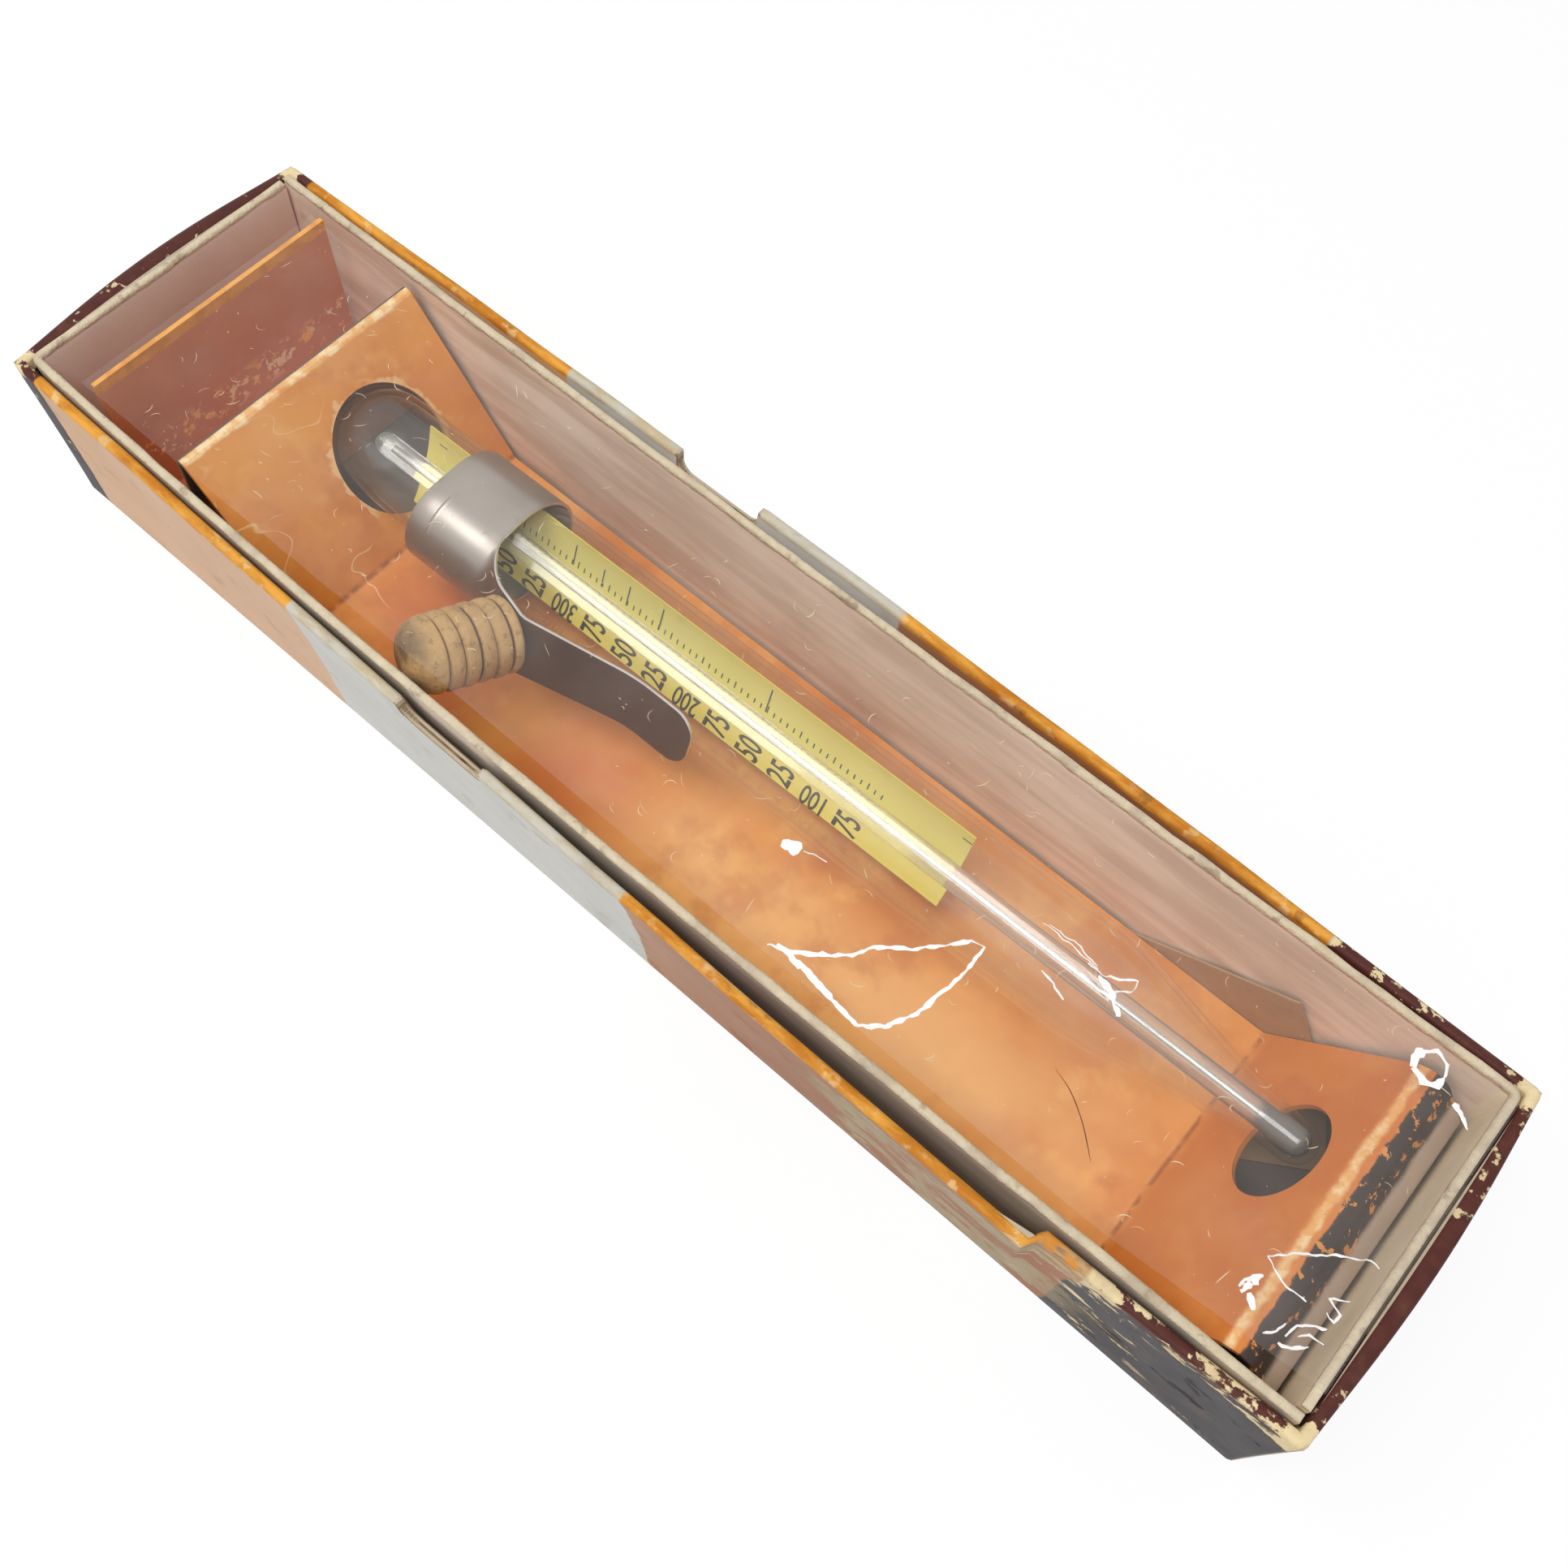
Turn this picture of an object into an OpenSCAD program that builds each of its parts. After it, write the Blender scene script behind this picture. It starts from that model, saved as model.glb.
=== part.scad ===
// Boxed kitchen thermometer: a glass tube with a scale card and a mercury stem, a sheet metal pan clip
// with a turned wood grip, and the lower half of the set-up box that it is kept in.
// Millimetres. X runs along the box towards the bulb, Y across it, Z up. Origin: middle of the underside.

/* [Glass jacket] */

// Length of the glass jacket from dome to tip
jacket_l = 196.5; // [160:0.5:240]
// Outer radius of the straight part of the jacket
tube_r = 9.35; // [7:0.05:11]
// Wall thickness of the jacket
glass_t = 0.9; // [0.6:0.05:1.4]
// Length of the taper before the narrow end
cone_l = 29; // [15:0.5:40]
// Length of the narrow end that holds the bulb
narrow_l = 9; // [7:0.5:16]
// Outer radius of the narrow end
narrow_r = 3.5; // [3:0.05:5]

/* [Stem and mercury] */

// Outer radius of the stem
stem_r = 2; // [1.4:0.05:2.4]
// Radius of the bore in the stem
bore_r = 0.4; // [0.2:0.05:0.7]
// Free length between the dome and the top of the stem
stem_top_gap = 6.5; // [3:0.5:15]
// Length of the bulb
bulb_l = 7; // [5:0.5:9]
// Free space between the bulb and the jacket
bulb_gap = 0.25; // [0.15:0.05:0.5]
// Wall thickness of the bulb
bulb_t = 0.45; // [0.3:0.05:0.7]
// Length of the mercury thread above the bulb
thread_l = 64; // [20:1:120]
// Space left between the mercury and its bore
fill_gap = 0.02; // [0.01:0.01:0.05]

/* [Scale card] */

// Width of the scale card
scale_w = 15.5; // [11:0.1:15.8]
// Length of the scale card
scale_l = 115; // [80:1:130]
// Thickness of the scale card
scale_t = 0.35; // [0.2:0.05:0.6]
// Radius that the scale card is curved to
scale_bend = 35; // [20:1:60]
// Space between the card and the stem in front of it
scale_gap = 0.1; // [0.05:0.05:0.4]
// Turn of the card about the tube, away from facing straight up
scale_turn = 63; // [0:1:90]
// Distance of the card from the end of the dome
scale_at = 16.5; // [12:0.5:40]

/* [Pan clip] */

// Thickness of the clip's sheet
clip_t = 0.6; // [0.4:0.05:0.9]
// Space between the clip's band and the tube
clip_gap = 0.1; // [0.05:0.05:0.4]
// Distance of the band from the end of the dome
clip_at = 27.8; // [24:0.1:60]
// Width of the band along the tube
band_l = 15.7; // [10:0.1:24]
// Space between the tube and the near side of the loop
loop_gap = 3.45; // [2:0.05:5]
// Outer radius of the loop's near side
loop_near_r = 8.3; // [7:0.1:9]
// Width of the blade beyond its fillets
blade_root_w = 11.9; // [9:0.1:13]
// Width of the blade near its tip
blade_tip_w = 10.5; // [7:0.1:13]
// Radius of the tip's two corners
blade_tip_r = 4; // [1.5:0.1:4.4]
// Length over which the curved sheet flattens into the blade
blade_flatten = 6.8; // [5:0.1:8]
// Run of the rising part of the blade
blade_rise_run = 12.6; // [12:0.1:18]
// Height of the blade's crest over the loop
blade_rise = 3.9; // [2:0.1:6]
// Run of the part of the blade that falls back towards the tube
blade_fall_run = 19.5; // [16:0.1:30]
// Space left for the pan wall between the blade and the tube
pan_gap = 2.2; // [0.8:0.05:3]
// Run of the blade's tip
blade_tip_run = 12.2; // [9:0.1:18]
// Height that the tip is turned out by
blade_tip_rise = 0.2; // [0.1:0.1:2.5]
// Turn of the clip about the tube, above level
clip_turn = 20; // [0:1:40]

/* [Wood grip] */

// Length of the grip
grip_l = 18; // [14:0.1:24]
// Radius of the grip
grip_r = 6.4; // [4.5:0.1:7.4]
// Rounding of the grip's free end
grip_tip_r = 4.4; // [2:0.1:5]
// Rounding of the grip's seat edge
grip_root_r = 0.8; // [0.3:0.1:1.5]
// Number of turned grooves
groove_count = 5; // [3:1:6]
// Depth of a turned groove
groove_d = 0.7; // [0.3:0.05:1]
// Distance of the grip's axis from the crest of the blade
grip_back = 2.8; // [2.7:0.1:4]
// Radius of the screw's shank
screw_r = 1.2; // [0.8:0.05:1.6]
// Depth of the screw in the grip
screw_depth = 10; // [6:0.5:12]
// Radius of the screw's head
screw_head_r = 1.8; // [1.6:0.1:2]
// Thickness of the screw's head
screw_head_t = 1.2; // [0.8:0.1:2]
// Space around the shank in the blade and in the grip
screw_gap = 0.1; // [0.05:0.05:0.3]

/* [Outer box] */

// Width of the outer box at its corners
box_w = 57.5; // [54:0.5:70]
// Height of the outer box
box_h = 34.5; // [32:0.5:45]
// Thickness of the outer box's board
outer_board_t = 1.3; // [1:0.1:2]
// Thickness of the printed wrap
wrap_t = 0.2; // [0.1:0.05:0.3]
// Layer of glue between the wrap and the board
glue_t = 0.05; // [0.04:0.01:0.1]
// Depth that the wrap is turned in behind the rim
turn_in = 12; // [6:1:20]
// Distance that the walls of both boxes lean out by at the rim
wall_flare = 1.1; // [0.6:0.1:1.6]
// Distance that the near wall bows out by at the middle of the rim
outer_bow = 2.2; // [1.6:0.1:3]
// Distance that the far wall bows out by at the middle of the rim
far_bow = 1.3; // [0.5:0.1:2]
// Distance that the near wall has sprung from its corner at the rim
seam_gap = 2.3; // [0.5:0.1:3]
// Distance of that open seam from the middle of the box, towards the bulb
seam_off = 84; // [70:0.5:95]
// Length of a thumb notch along the rim
notch_l = 17; // [10:0.5:30]
// Depth of a thumb notch
notch_d = 4.4; // [2:0.1:8]
// Radius of the notch's lower corners
notch_corner_r = 2.6; // [1:0.1:4]
// Distance of the thumb notches from the middle of the box, towards the dome
notch_off = 24.3; // [0:0.1:60]

/* [Tray] */

// Thickness of the tray's board
tray_board_t = 1.4; // [1:0.1:2]
// Space between the tray and the wrap's turn-in
tray_gap = 0.4; // [0.3:0.05:1]
// Space between the two floors
floor_gap = 0.1; // [0.05:0.05:0.5]
// Height of the tray's rim over the outer box's rim
tray_rise = 1; // [0.5:0.1:5]
// Distance that the tray's near wall bows out by at the middle of the rim
tray_bow = 1.6; // [0.2:0.1:1.6]
// Distance that the tray's far wall bows in by at the middle of the rim
tray_far_bow = 0.5; // [0.1:0.1:0.6]

/* [Folded insert] */

// Thickness of the insert's card
insert_t = 0.9; // [0.5:0.05:1.2]
// Space between the insert's long edges and the tray
insert_gap = 0.75; // [0.7:0.05:1.5]
// Space between the insert's feet and the tray's floor
foot_gap = 0.1; // [0.05:0.05:0.4]
// Space between the insert's leg and the tray's end wall
leg_gap = 0.35; // [0.2:0.05:1]
// Inside radius of the folds
fold_r = 0.5; // [0.2:0.1:1]
// Space behind the upright at the dome end
end_pocket = 10.55; // [6:0.1:20]
// Length of the trough at the dome end
trough_l = 18; // [12:0.5:28]
// Lean of the trough's inner wall
ridge_lean = 1.9; // [0.5:0.1:4]
// Drop of the upright's edge below the tray's rim
upright_drop = 0.3; // [0.2:0.1:2]
// Drop of the dome end's ridge below the tray's rim, before its fold is rounded
ridge_drop = 0.6; // [0.2:0.1:4]
// Drop of the bulb end's ridge below the tray's rim
far_ridge_drop = 5.3; // [3:0.1:9]
// Run of the rounded top of the bulb end's ridge
far_ridge_top = 4.3; // [3:0.1:7]
// Run of the flap behind the bulb end's ridge
flap_run = 5; // [4:0.1:9]
// Height of the flap's lower edge over the tray's floor
flap_z = 19.3; // [12:0.1:22]
// Height of the insert's floor over the tray's floor
floor_lift = 2.75; // [1.5:0.05:5]
// Slope of the two panels that hold the tube
panel_slope = 53; // [48:0.5:62]
// Height of the tube's axis over the insert's floor
tube_lift = 13.35; // [12.6:0.05:16]
// Skew of the tube in the box
tube_skew = 0.7; // [0:0.1:1]
// Space around the tube in the hole at the dome end
dome_hole_gap = 0.95; // [0.8:0.05:1.5]
// Length of the tube's tip beyond the hole at the bulb end
tip_poke = 4.6; // [3.5:0.1:8]
// Length of the hole at the bulb end, along the slope
tip_hole_l = 14.2; // [12:0.1:17]
// Width of the hole at the bulb end
tip_hole_w = 16.8; // [14:0.1:20]
// Distance of that hole from the tube's axis, across the box
tip_hole_off = 2.9; // [0:0.1:3.2]
// Space between the grip's end and the tray's wall
grip_wall_gap = 0.35; // [0.3:0.05:3]

/* [Leaflet and film] */

// Length of the leaflet
leaflet_l = 66; // [45:1:75]
// Width of the leaflet
leaflet_w = 35; // [25:1:45]
// Thickness of the folded leaflet
leaflet_t = 0.35; // [0.2:0.05:0.5]
// Turn of the leaflet in the tray
leaflet_turn = 32; // [25:1:40]
// Height of the leaflet's corner that is bent up
leaflet_up = 18.4; // [8:0.1:24]
// Distance of that corner from the bulb end of the tray
leaflet_in = 27.5; // [22:0.5:50]
// Space on both sides of the bent up corner and under the leaflet
leaflet_gap = 0.15; // [0.05:0.05:0.3]
// Thickness of the clear film
film_t = 0.12; // [0.08:0.01:0.16]
// Space between the film and what it lies on
film_gap = 0.2; // [0.1:0.01:0.3]
// Space between the film's turned down edge and the tray's end
film_end_gap = 0.14; // [0.08:0.01:0.16]
// Width of the film's edge turned down over the tray's end wall
film_drop = 8; // [3:0.5:16]
// Distance of the film's near edge from the tray's rim
film_near = 1; // [0.5:0.1:6]
// Distance of the film's far edge from the tray's rim
film_far = 0.6; // [0.5:0.1:6]
// How far the film's near edge runs in from the rim at the bulb end
film_skew = 2.6; // [0.5:0.1:8]
// Length of the near edge that runs in
film_skew_l = 33; // [15:0.5:60]
// Overhang of the film past the upright
film_over = 1.6; // [0.8:0.1:6]

/* [Hidden] */

$fn = 72;
far_away = 400;

// Heights
board_in = wrap_t + glue_t;
outer_floor_z = board_in + outer_board_t;
tray_z0 = outer_floor_z + floor_gap;
tray_floor_z = tray_z0 + tray_board_t;
tray_rim_z = box_h + tray_rise;
trough_z = tray_floor_z + foot_gap + insert_t / 2;
insert_z = tray_floor_z + floor_lift;
upright_z = tray_rim_z - upright_drop;
ridge_z = tray_rim_z - ridge_drop;
far_ridge_z = tray_rim_z - far_ridge_drop;
far_ridge_round = 1.1;
axis_z = insert_z + tube_lift;

// Lengths, counted from the inside of the tray's end wall at the dome end
panel_tan = tan(panel_slope);
axis_run = tube_lift / panel_tan;
trough_end = end_pocket + trough_l;
ridge_at = trough_end + ridge_lean;
dome_crease = ridge_at + (ridge_z - insert_z) / panel_tan;
dome_at = dome_crease - axis_run - tube_r;
tip_at = dome_at + jacket_l;
tip_crease = tip_at - tip_poke - axis_run;
far_ridge_start = tip_crease + (far_ridge_z - far_ridge_round - insert_z) / panel_tan;
flap_start = far_ridge_start + far_ridge_top;
flap_end = flap_start + flap_run;
leg_slack = 0.4;
tray_in_l = flap_end + leg_slack + insert_t / 2 + leg_gap;
mid = tray_in_l / 2;

// Box sizes
wall_sum = 2 * board_in + outer_board_t;
tray_l = tray_in_l + 2 * tray_board_t;
box_l = tray_l + 2 * (tray_gap + wall_sum);
tray_w = box_w - 2 * (tray_gap + wall_sum);
tray_in_w = tray_w - 2 * tray_board_t;
insert_w = tray_in_w - 2 * insert_gap;

// Clip, seen along the tube: distances from the tube's axis
band_out = tube_r + clip_gap + clip_t;
wall_out = tube_r + loop_gap + clip_t;
rise_turn = atan(blade_rise / blade_rise_run);
clip_x = dome_at - mid + clip_at;
blade_x = clip_x + band_l;
blade_lead = 0.7;
rise_x = blade_x + blade_lead;
crest_x = rise_x + blade_rise_run;
seat_x = crest_x - grip_back;
seat_d = wall_out + blade_rise * (blade_rise_run - grip_back) / blade_rise_run;
grip_cos = cos(rise_turn) * cos(clip_turn);
grip_reach = seat_d * cos(clip_turn) + (grip_l - grip_tip_r) * grip_cos
    + (grip_r - grip_tip_r) * sqrt(1 - grip_cos * grip_cos) + grip_tip_r;

// Place of the tube across the box, so that the grip stays clear of the bowed wall
bow_share = 0.62;
axis_y = grip_reach + grip_wall_gap - tray_in_w / 2 - bow_share * (wall_flare + tray_bow)
    - seat_x * tan(tube_skew);

bow_power = 1.5;
bow_foot = 1;
wall_steps = 6;
side_steps = 18;
fold_steps = 5;

// Heights in even steps, both ends included
function steps(a, b, n) = [for (i = [0 : n]) a + (b - a) * i / n];

// Places along a long wall, in even steps up to the open seam and beyond it
seam_run = 4;
function side_places(hl) = concat(steps(-hl, seam_off, side_steps - 4), steps(seam_off + seam_run, hl, 4));
function turn_back(list) = [for (i = [len(list) - 1 : -1 : 0]) list[i]];

// How far a wall has leaned out at a height, as a part of what it does at the rim. It starts a little
// below the floor, so that no level is quite straight.
function leaned(z, z0, z1) = pow((z - z0 + bow_foot) / (z1 - z0 + bow_foot), bow_power);
function crown(x, hl) = 1 - x * x / (hl * hl);

// The near wall springs out more and more towards the open seam
function sprung(x) = x > seam_off ? 0 : seam_gap * pow((x + box_l / 2) / (seam_off + box_l / 2), 3);

// A level of the outer box, set in from its outside
function outer_level(z, set_in) = let (hl = box_l / 2 - set_in, hw = box_w / 2 - set_in,
    g = leaned(z, 0, box_h), places = side_places(hl)) concat(
    [for (x = places) [x, -hw - g * (wall_flare + outer_bow * crown(x, hl) + sprung(x)), z]],
    [for (x = turn_back(places)) [x, hw + g * (wall_flare + far_bow * crown(x, hl)), z]]);

// A level of the tray, set in from its outside. Its near wall bows out most towards the dome end
tray_skew = 0.45;
function tray_level(z, set_in) = let (hl = tray_l / 2 - set_in, hw = tray_w / 2 - set_in,
    g = leaned(z, tray_z0, tray_rim_z), places = side_places(hl)) concat(
    [for (x = places) [x, -hw - g * (wall_flare + tray_bow * crown(x, hl) * (1 - tray_skew * x / hl)), z]],
    [for (x = turn_back(places)) [x, hw + g * (wall_flare - tray_far_bow * crown(x, hl)), z]]);

// One solid through levels that follow each other: up the outside, over the rim and down the inside
module loft(levels) {
    n = len(levels[0]);
    m = len(levels);
    sides = [for (k = [0 : m - 2]) for (i = [0 : n - 1])
        let (a = k * n + i, b = k * n + (i + 1) % n)
        each [[a, a + n, b + n], [a, b + n, b]]];
    polyhedron(points = [for (l = levels) each l],
        faces = concat([[for (i = [0 : n - 1]) i]], sides, [[for (i = [0 : n - 1]) m * n - 1 - i]]));
}

// Unit vectors of a path in a plane
function unit(v) = v / norm(v);
function left_of(v) = [-v[1], v[0]];

// A path with its inner corners rounded to the given radii
function corner(p, q, s, r) = let (a = unit(p - q), b = unit(s - q), half = acos(a * b) / 2,
    reach = r / tan(half), c = q + unit(a + b) * r / sin(half),
    t0 = q + a * reach - c, turn = (180 - 2 * half) * sign(a[1] * b[0] - a[0] * b[1]))
    [for (i = [0 : fold_steps]) let (w = turn * i / fold_steps)
        c + [t0[0] * cos(w) - t0[1] * sin(w), t0[0] * sin(w) + t0[1] * cos(w)]];
function rounded(path, radii) = [for (i = [0 : len(path) - 1])
    each (i == 0 || i == len(path) - 1 ? [path[i]]
        : corner(path[i - 1], path[i], path[i + 1], radii[i - 1]))];

// The two sides of a strip of sheet that follows a path
function side_point(path, i, off) = let (last = len(path) - 1,
    d0 = i == 0 ? unit(path[1] - path[0]) : unit(path[i] - path[i - 1]),
    d1 = i == last ? d0 : unit(path[i + 1] - path[i]),
    m = unit(left_of(d0) + left_of(d1)))
    path[i] + m * off / (m * left_of(d0));
function strip(path, a, b) = concat(
    [for (i = [0 : len(path) - 1]) side_point(path, i, a)],
    [for (i = [len(path) - 1 : -1 : 0]) side_point(path, i, b)]);

// A flat shape pushed along X: its own x becomes Y, its own y becomes Z
module along_x(l) {
    rotate([90, 0, 90]) linear_extrude(l) children();
}

// A flat shape in XZ pushed through the width of the box, from y0 to y1
module across(y0, y1) {
    translate([0, y1, 0]) rotate([90, 0, 0]) linear_extrude(y1 - y0) children();
}

// The thermometer's place in the box
module in_tube_place() {
    translate([0, axis_y, axis_z]) rotate([0, 0, tube_skew]) children();
}

// A turned shape on the tube's axis, counted from the end of the dome
module turned() {
    translate([dome_at - mid, 0, 0]) rotate([0, 90, 0]) rotate_extrude() children();
}

// The clip's place: the near side of the loop lies towards -Y
module in_clip_place() {
    in_tube_place() rotate([-clip_turn, 0, 0]) children();
}

// The grip's seat: Z points out of the blade along the grip's axis
module on_seat() {
    translate([seat_x, -seat_d, 0]) rotate([0, 0, -rise_turn]) rotate([90, 0, 0]) children();
}
module in_seat_place() {
    in_clip_place() on_seat() children();
}

// Thumb notches through both long walls: steep sides and rounded lower corners
module thumb_notches() {
    r = notch_corner_r;
    run = notch_l / 2 - r;
    translate([-notch_off, 0, box_h - notch_d]) across(-far_away / 2, far_away / 2) {
        translate([-notch_l / 2, r]) square([notch_l, notch_d]);
        translate([-run, 0]) square([2 * run, notch_d]);
        for (a = [-1, 1]) translate([a * run, r]) circle(r);
    }
}

// Outer box: board
module outer_board() {
    inside = board_in + outer_board_t;
    up = steps(board_in, box_h - board_in, wall_steps);
    down = steps(box_h - board_in, outer_floor_z, wall_steps);
    color([0.72, 0.66, 0.58]) difference() {
        loft(concat([for (z = up) outer_level(z, board_in)], [for (z = down) outer_level(z, inside)]));
        thumb_notches();
    }
}

// Outer box: printed wrap, drawn over the board, the rim and the underside and turned in
module outer_wrap() {
    inside = board_in + outer_board_t + glue_t;
    up = steps(wrap_t, box_h - wrap_t, wall_steps);
    tuck = steps(box_h - turn_in, box_h - wrap_t, 2);
    color([0.8, 0.52, 0.22]) difference() {
        loft(concat([outer_level(0, 0)], [for (z = up) outer_level(z, 0)], [outer_level(box_h, 0)],
            [outer_level(box_h, inside + wrap_t)],
            [for (i = [2 : -1 : 0]) outer_level(tuck[i], inside + wrap_t)],
            [for (z = tuck) outer_level(z, inside)],
            [for (i = [wall_steps : -1 : 0]) outer_level(up[i], wrap_t)]));
        thumb_notches();
    }
}

// Tray that stands in the outer box
module tray_board() {
    up = steps(tray_z0, tray_rim_z, wall_steps);
    down = steps(tray_rim_z, tray_floor_z, wall_steps);
    color([0.72, 0.62, 0.54]) loft(concat([for (z = up) tray_level(z, 0)],
        [for (z = down) tray_level(z, tray_board_t)]));
}

// Folded card insert: upright, trough, ridge, sloped panel, floor, sloped panel, ridge, flap and leg
insert_path = [[end_pocket - mid, upright_z], [end_pocket - mid, trough_z], [trough_end - mid, trough_z],
    [ridge_at - mid, ridge_z], [dome_crease - mid, insert_z],
    [tip_crease - mid, insert_z], [far_ridge_start - mid, far_ridge_z - far_ridge_round],
    [far_ridge_start + far_ridge_top * 0.47 - mid, far_ridge_z],
    [flap_start - mid, far_ridge_z - far_ridge_round * 0.8],
    [flap_end - mid, tray_floor_z + flap_z], [flap_end + leg_slack - mid, trough_z - insert_t / 2]];
fold_mid = fold_r + insert_t / 2;
insert_radii = [fold_mid, fold_mid, fold_mid, 2 * fold_mid, 2 * fold_mid, 2 * fold_mid, 2 * fold_mid,
    2 * fold_mid, 2 * fold_mid];

// An oval hole cut square to a sloped panel; l is counted up the slope from the crease
module panel_hole(crease, side, l, y, half_l, half_w) {
    translate([crease + side * l * cos(panel_slope) - mid, y, insert_z + l * sin(panel_slope)])
        rotate([0, -side * panel_slope, 0]) translate([0, 0, -4])
            linear_extrude(8) polygon([for (w = [0 : 6 : 354]) [half_l * cos(w), half_w * sin(w)]]);
}

module insert_card() {
    hole_lo = (tube_lift - tube_r) / sin(panel_slope);
    hole_hi = tube_lift / sin(panel_slope) + tube_r;
    tip_l = tube_lift / sin(panel_slope) + 1.1;
    dome_y = axis_y + (dome_at + tube_r - mid) * tan(tube_skew);
    tip_y = axis_y + (tip_at - mid) * tan(tube_skew) - tip_hole_off;
    color([0.77, 0.5, 0.25]) difference() {
        across(-insert_w / 2, insert_w / 2)
            polygon(strip(rounded(insert_path, insert_radii), insert_t / 2, -insert_t / 2));
        panel_hole(dome_crease, -1, (hole_lo + hole_hi) / 2, dome_y,
            (hole_hi - hole_lo) / 2 + dome_hole_gap, tube_r + dome_hole_gap);
        panel_hole(tip_crease, 1, tip_l, tip_y, tip_hole_l / 2, tip_hole_w / 2);
    }
}

// Leaflet under the insert, with one corner bent up along the far wall
module leaflet() {
    fold_y = insert_w / 2 + leaflet_gap + leaflet_t;
    apex = [mid - leaflet_in, fold_y + leaflet_up];
    z = tray_floor_z + leaflet_gap;
    color([0.9, 0.87, 0.78]) {
        translate([0, 0, z]) linear_extrude(leaflet_t) intersection() {
            translate(apex) rotate(leaflet_turn) translate([-leaflet_l, -leaflet_w])
                square([leaflet_l, leaflet_w]);
            translate([-far_away / 2, fold_y - far_away]) square(far_away);
        }
        translate([0, fold_y, z - fold_y]) rotate([90, 0, 0]) linear_extrude(leaflet_t) intersection() {
            translate(apex) rotate(leaflet_turn) translate([-leaflet_l, -leaflet_w])
                square([leaflet_l, leaflet_w]);
            translate([-far_away / 2, fold_y]) square(far_away);
        }
    }
}

// Clear film over the insert, turned down outside the tray's end wall
module film_cover() {
    x1 = tray_l / 2 + film_end_gap + film_t / 2;
    z0 = upright_z + film_gap + film_t / 2;
    z1 = tray_rim_z + film_gap + film_t / 2;
    path = [[end_pocket - mid - film_over, z0], [x1, z1], [x1, z1 - film_drop]];
    near_y = film_near - tray_in_w / 2 - wall_flare;
    far_y = tray_in_w / 2 + wall_flare - tray_far_bow - film_far;
    slope = film_skew / film_skew_l;
    skewed = [[x1 - film_skew_l - 3, near_y - 3 * slope], [x1 + 1, near_y + film_skew + slope],
        [x1 + 1, near_y - 1]];
    color([0.85, 0.88, 0.9, 0.4]) difference() {
        across(near_y, far_y)
            polygon(strip(rounded(path, [film_gap + film_t / 2]), film_t / 2, -film_t / 2));
        linear_extrude(z1 + 1) polygon(skewed);
    }
}

// Half of the jacket's outline beside its axis, made smaller by a wall
module jacket_half(wall) {
    straight = jacket_l - cone_l - narrow_l;
    taper_end = jacket_l - narrow_l;
    intersection() {
        union() {
            translate([0, tube_r]) circle(tube_r - wall);
            translate([0, tube_r]) square([tube_r - wall, straight - tube_r]);
            polygon([[0, straight], [tube_r - wall, straight], [narrow_r - wall, taper_end], [0, taper_end]]);
            translate([0, taper_end]) square([narrow_r - wall, narrow_l - narrow_r]);
            translate([0, jacket_l - narrow_r]) circle(narrow_r - wall);
        }
        square([tube_r, jacket_l]);
    }
}

// Glass jacket: dome, straight tube, taper and narrow end, closed all round
module glass_jacket() {
    color([0.8, 0.88, 0.88, 0.35]) in_tube_place() turned() difference() {
        jacket_half(0);
        jacket_half(glass_t);
    }
}

// Stem with its bulb, and the space inside them
bulb_r = narrow_r - glass_t - bulb_gap;
bulb_end = jacket_l - glass_t - bulb_gap;
bulb_start = bulb_end - bulb_l;
stem_top = glass_t + stem_top_gap;
module stem_half() {
    intersection() {
        union() {
            translate([0, stem_top + stem_r]) circle(stem_r);
            translate([0, stem_top + stem_r]) square([stem_r, bulb_start + bulb_r - stem_top - stem_r]);
            translate([0, bulb_start + bulb_r]) circle(bulb_r);
            translate([0, bulb_start + bulb_r]) square([bulb_r, bulb_l - 2 * bulb_r]);
            translate([0, bulb_end - bulb_r]) circle(bulb_r);
        }
        square([2 * bulb_r, jacket_l]);
    }
}
module bore_half(top, less) {
    r = bulb_r - bulb_t - less;
    intersection() {
        union() {
            translate([0, top]) square([bore_r - less, bulb_start + bulb_r - top]);
            translate([0, bulb_start + bulb_r]) circle(r);
            translate([0, bulb_start + bulb_r]) square([r, bulb_l - 2 * bulb_r]);
            translate([0, bulb_end - bulb_r]) circle(r);
        }
        square([2 * bulb_r, jacket_l]);
    }
}

module stem_tube() {
    color([0.85, 0.88, 0.86, 0.5]) in_tube_place() turned() difference() {
        stem_half();
        bore_half(stem_top + 2 * stem_r, 0);
    }
}

module mercury() {
    color([0.7, 0.7, 0.72]) in_tube_place() turned() bore_half(bulb_start - thread_l, fill_gap);
}

// Scale card behind the stem, curved and rolled a little in the tube
module scale_card() {
    drop = stem_r + scale_gap;
    color([0.82, 0.76, 0.45]) in_tube_place() translate([dome_at - mid + scale_at, 0, 0])
        along_x(scale_l) rotate(scale_turn) intersection() {
            translate([0, scale_bend - drop]) difference() {
                circle(scale_bend + scale_t, $fn = 180);
                circle(scale_bend, $fn = 180);
            }
            translate([-scale_w / 2, -2 * tube_r]) square([scale_w, 2 * tube_r]);
        }
}

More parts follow.
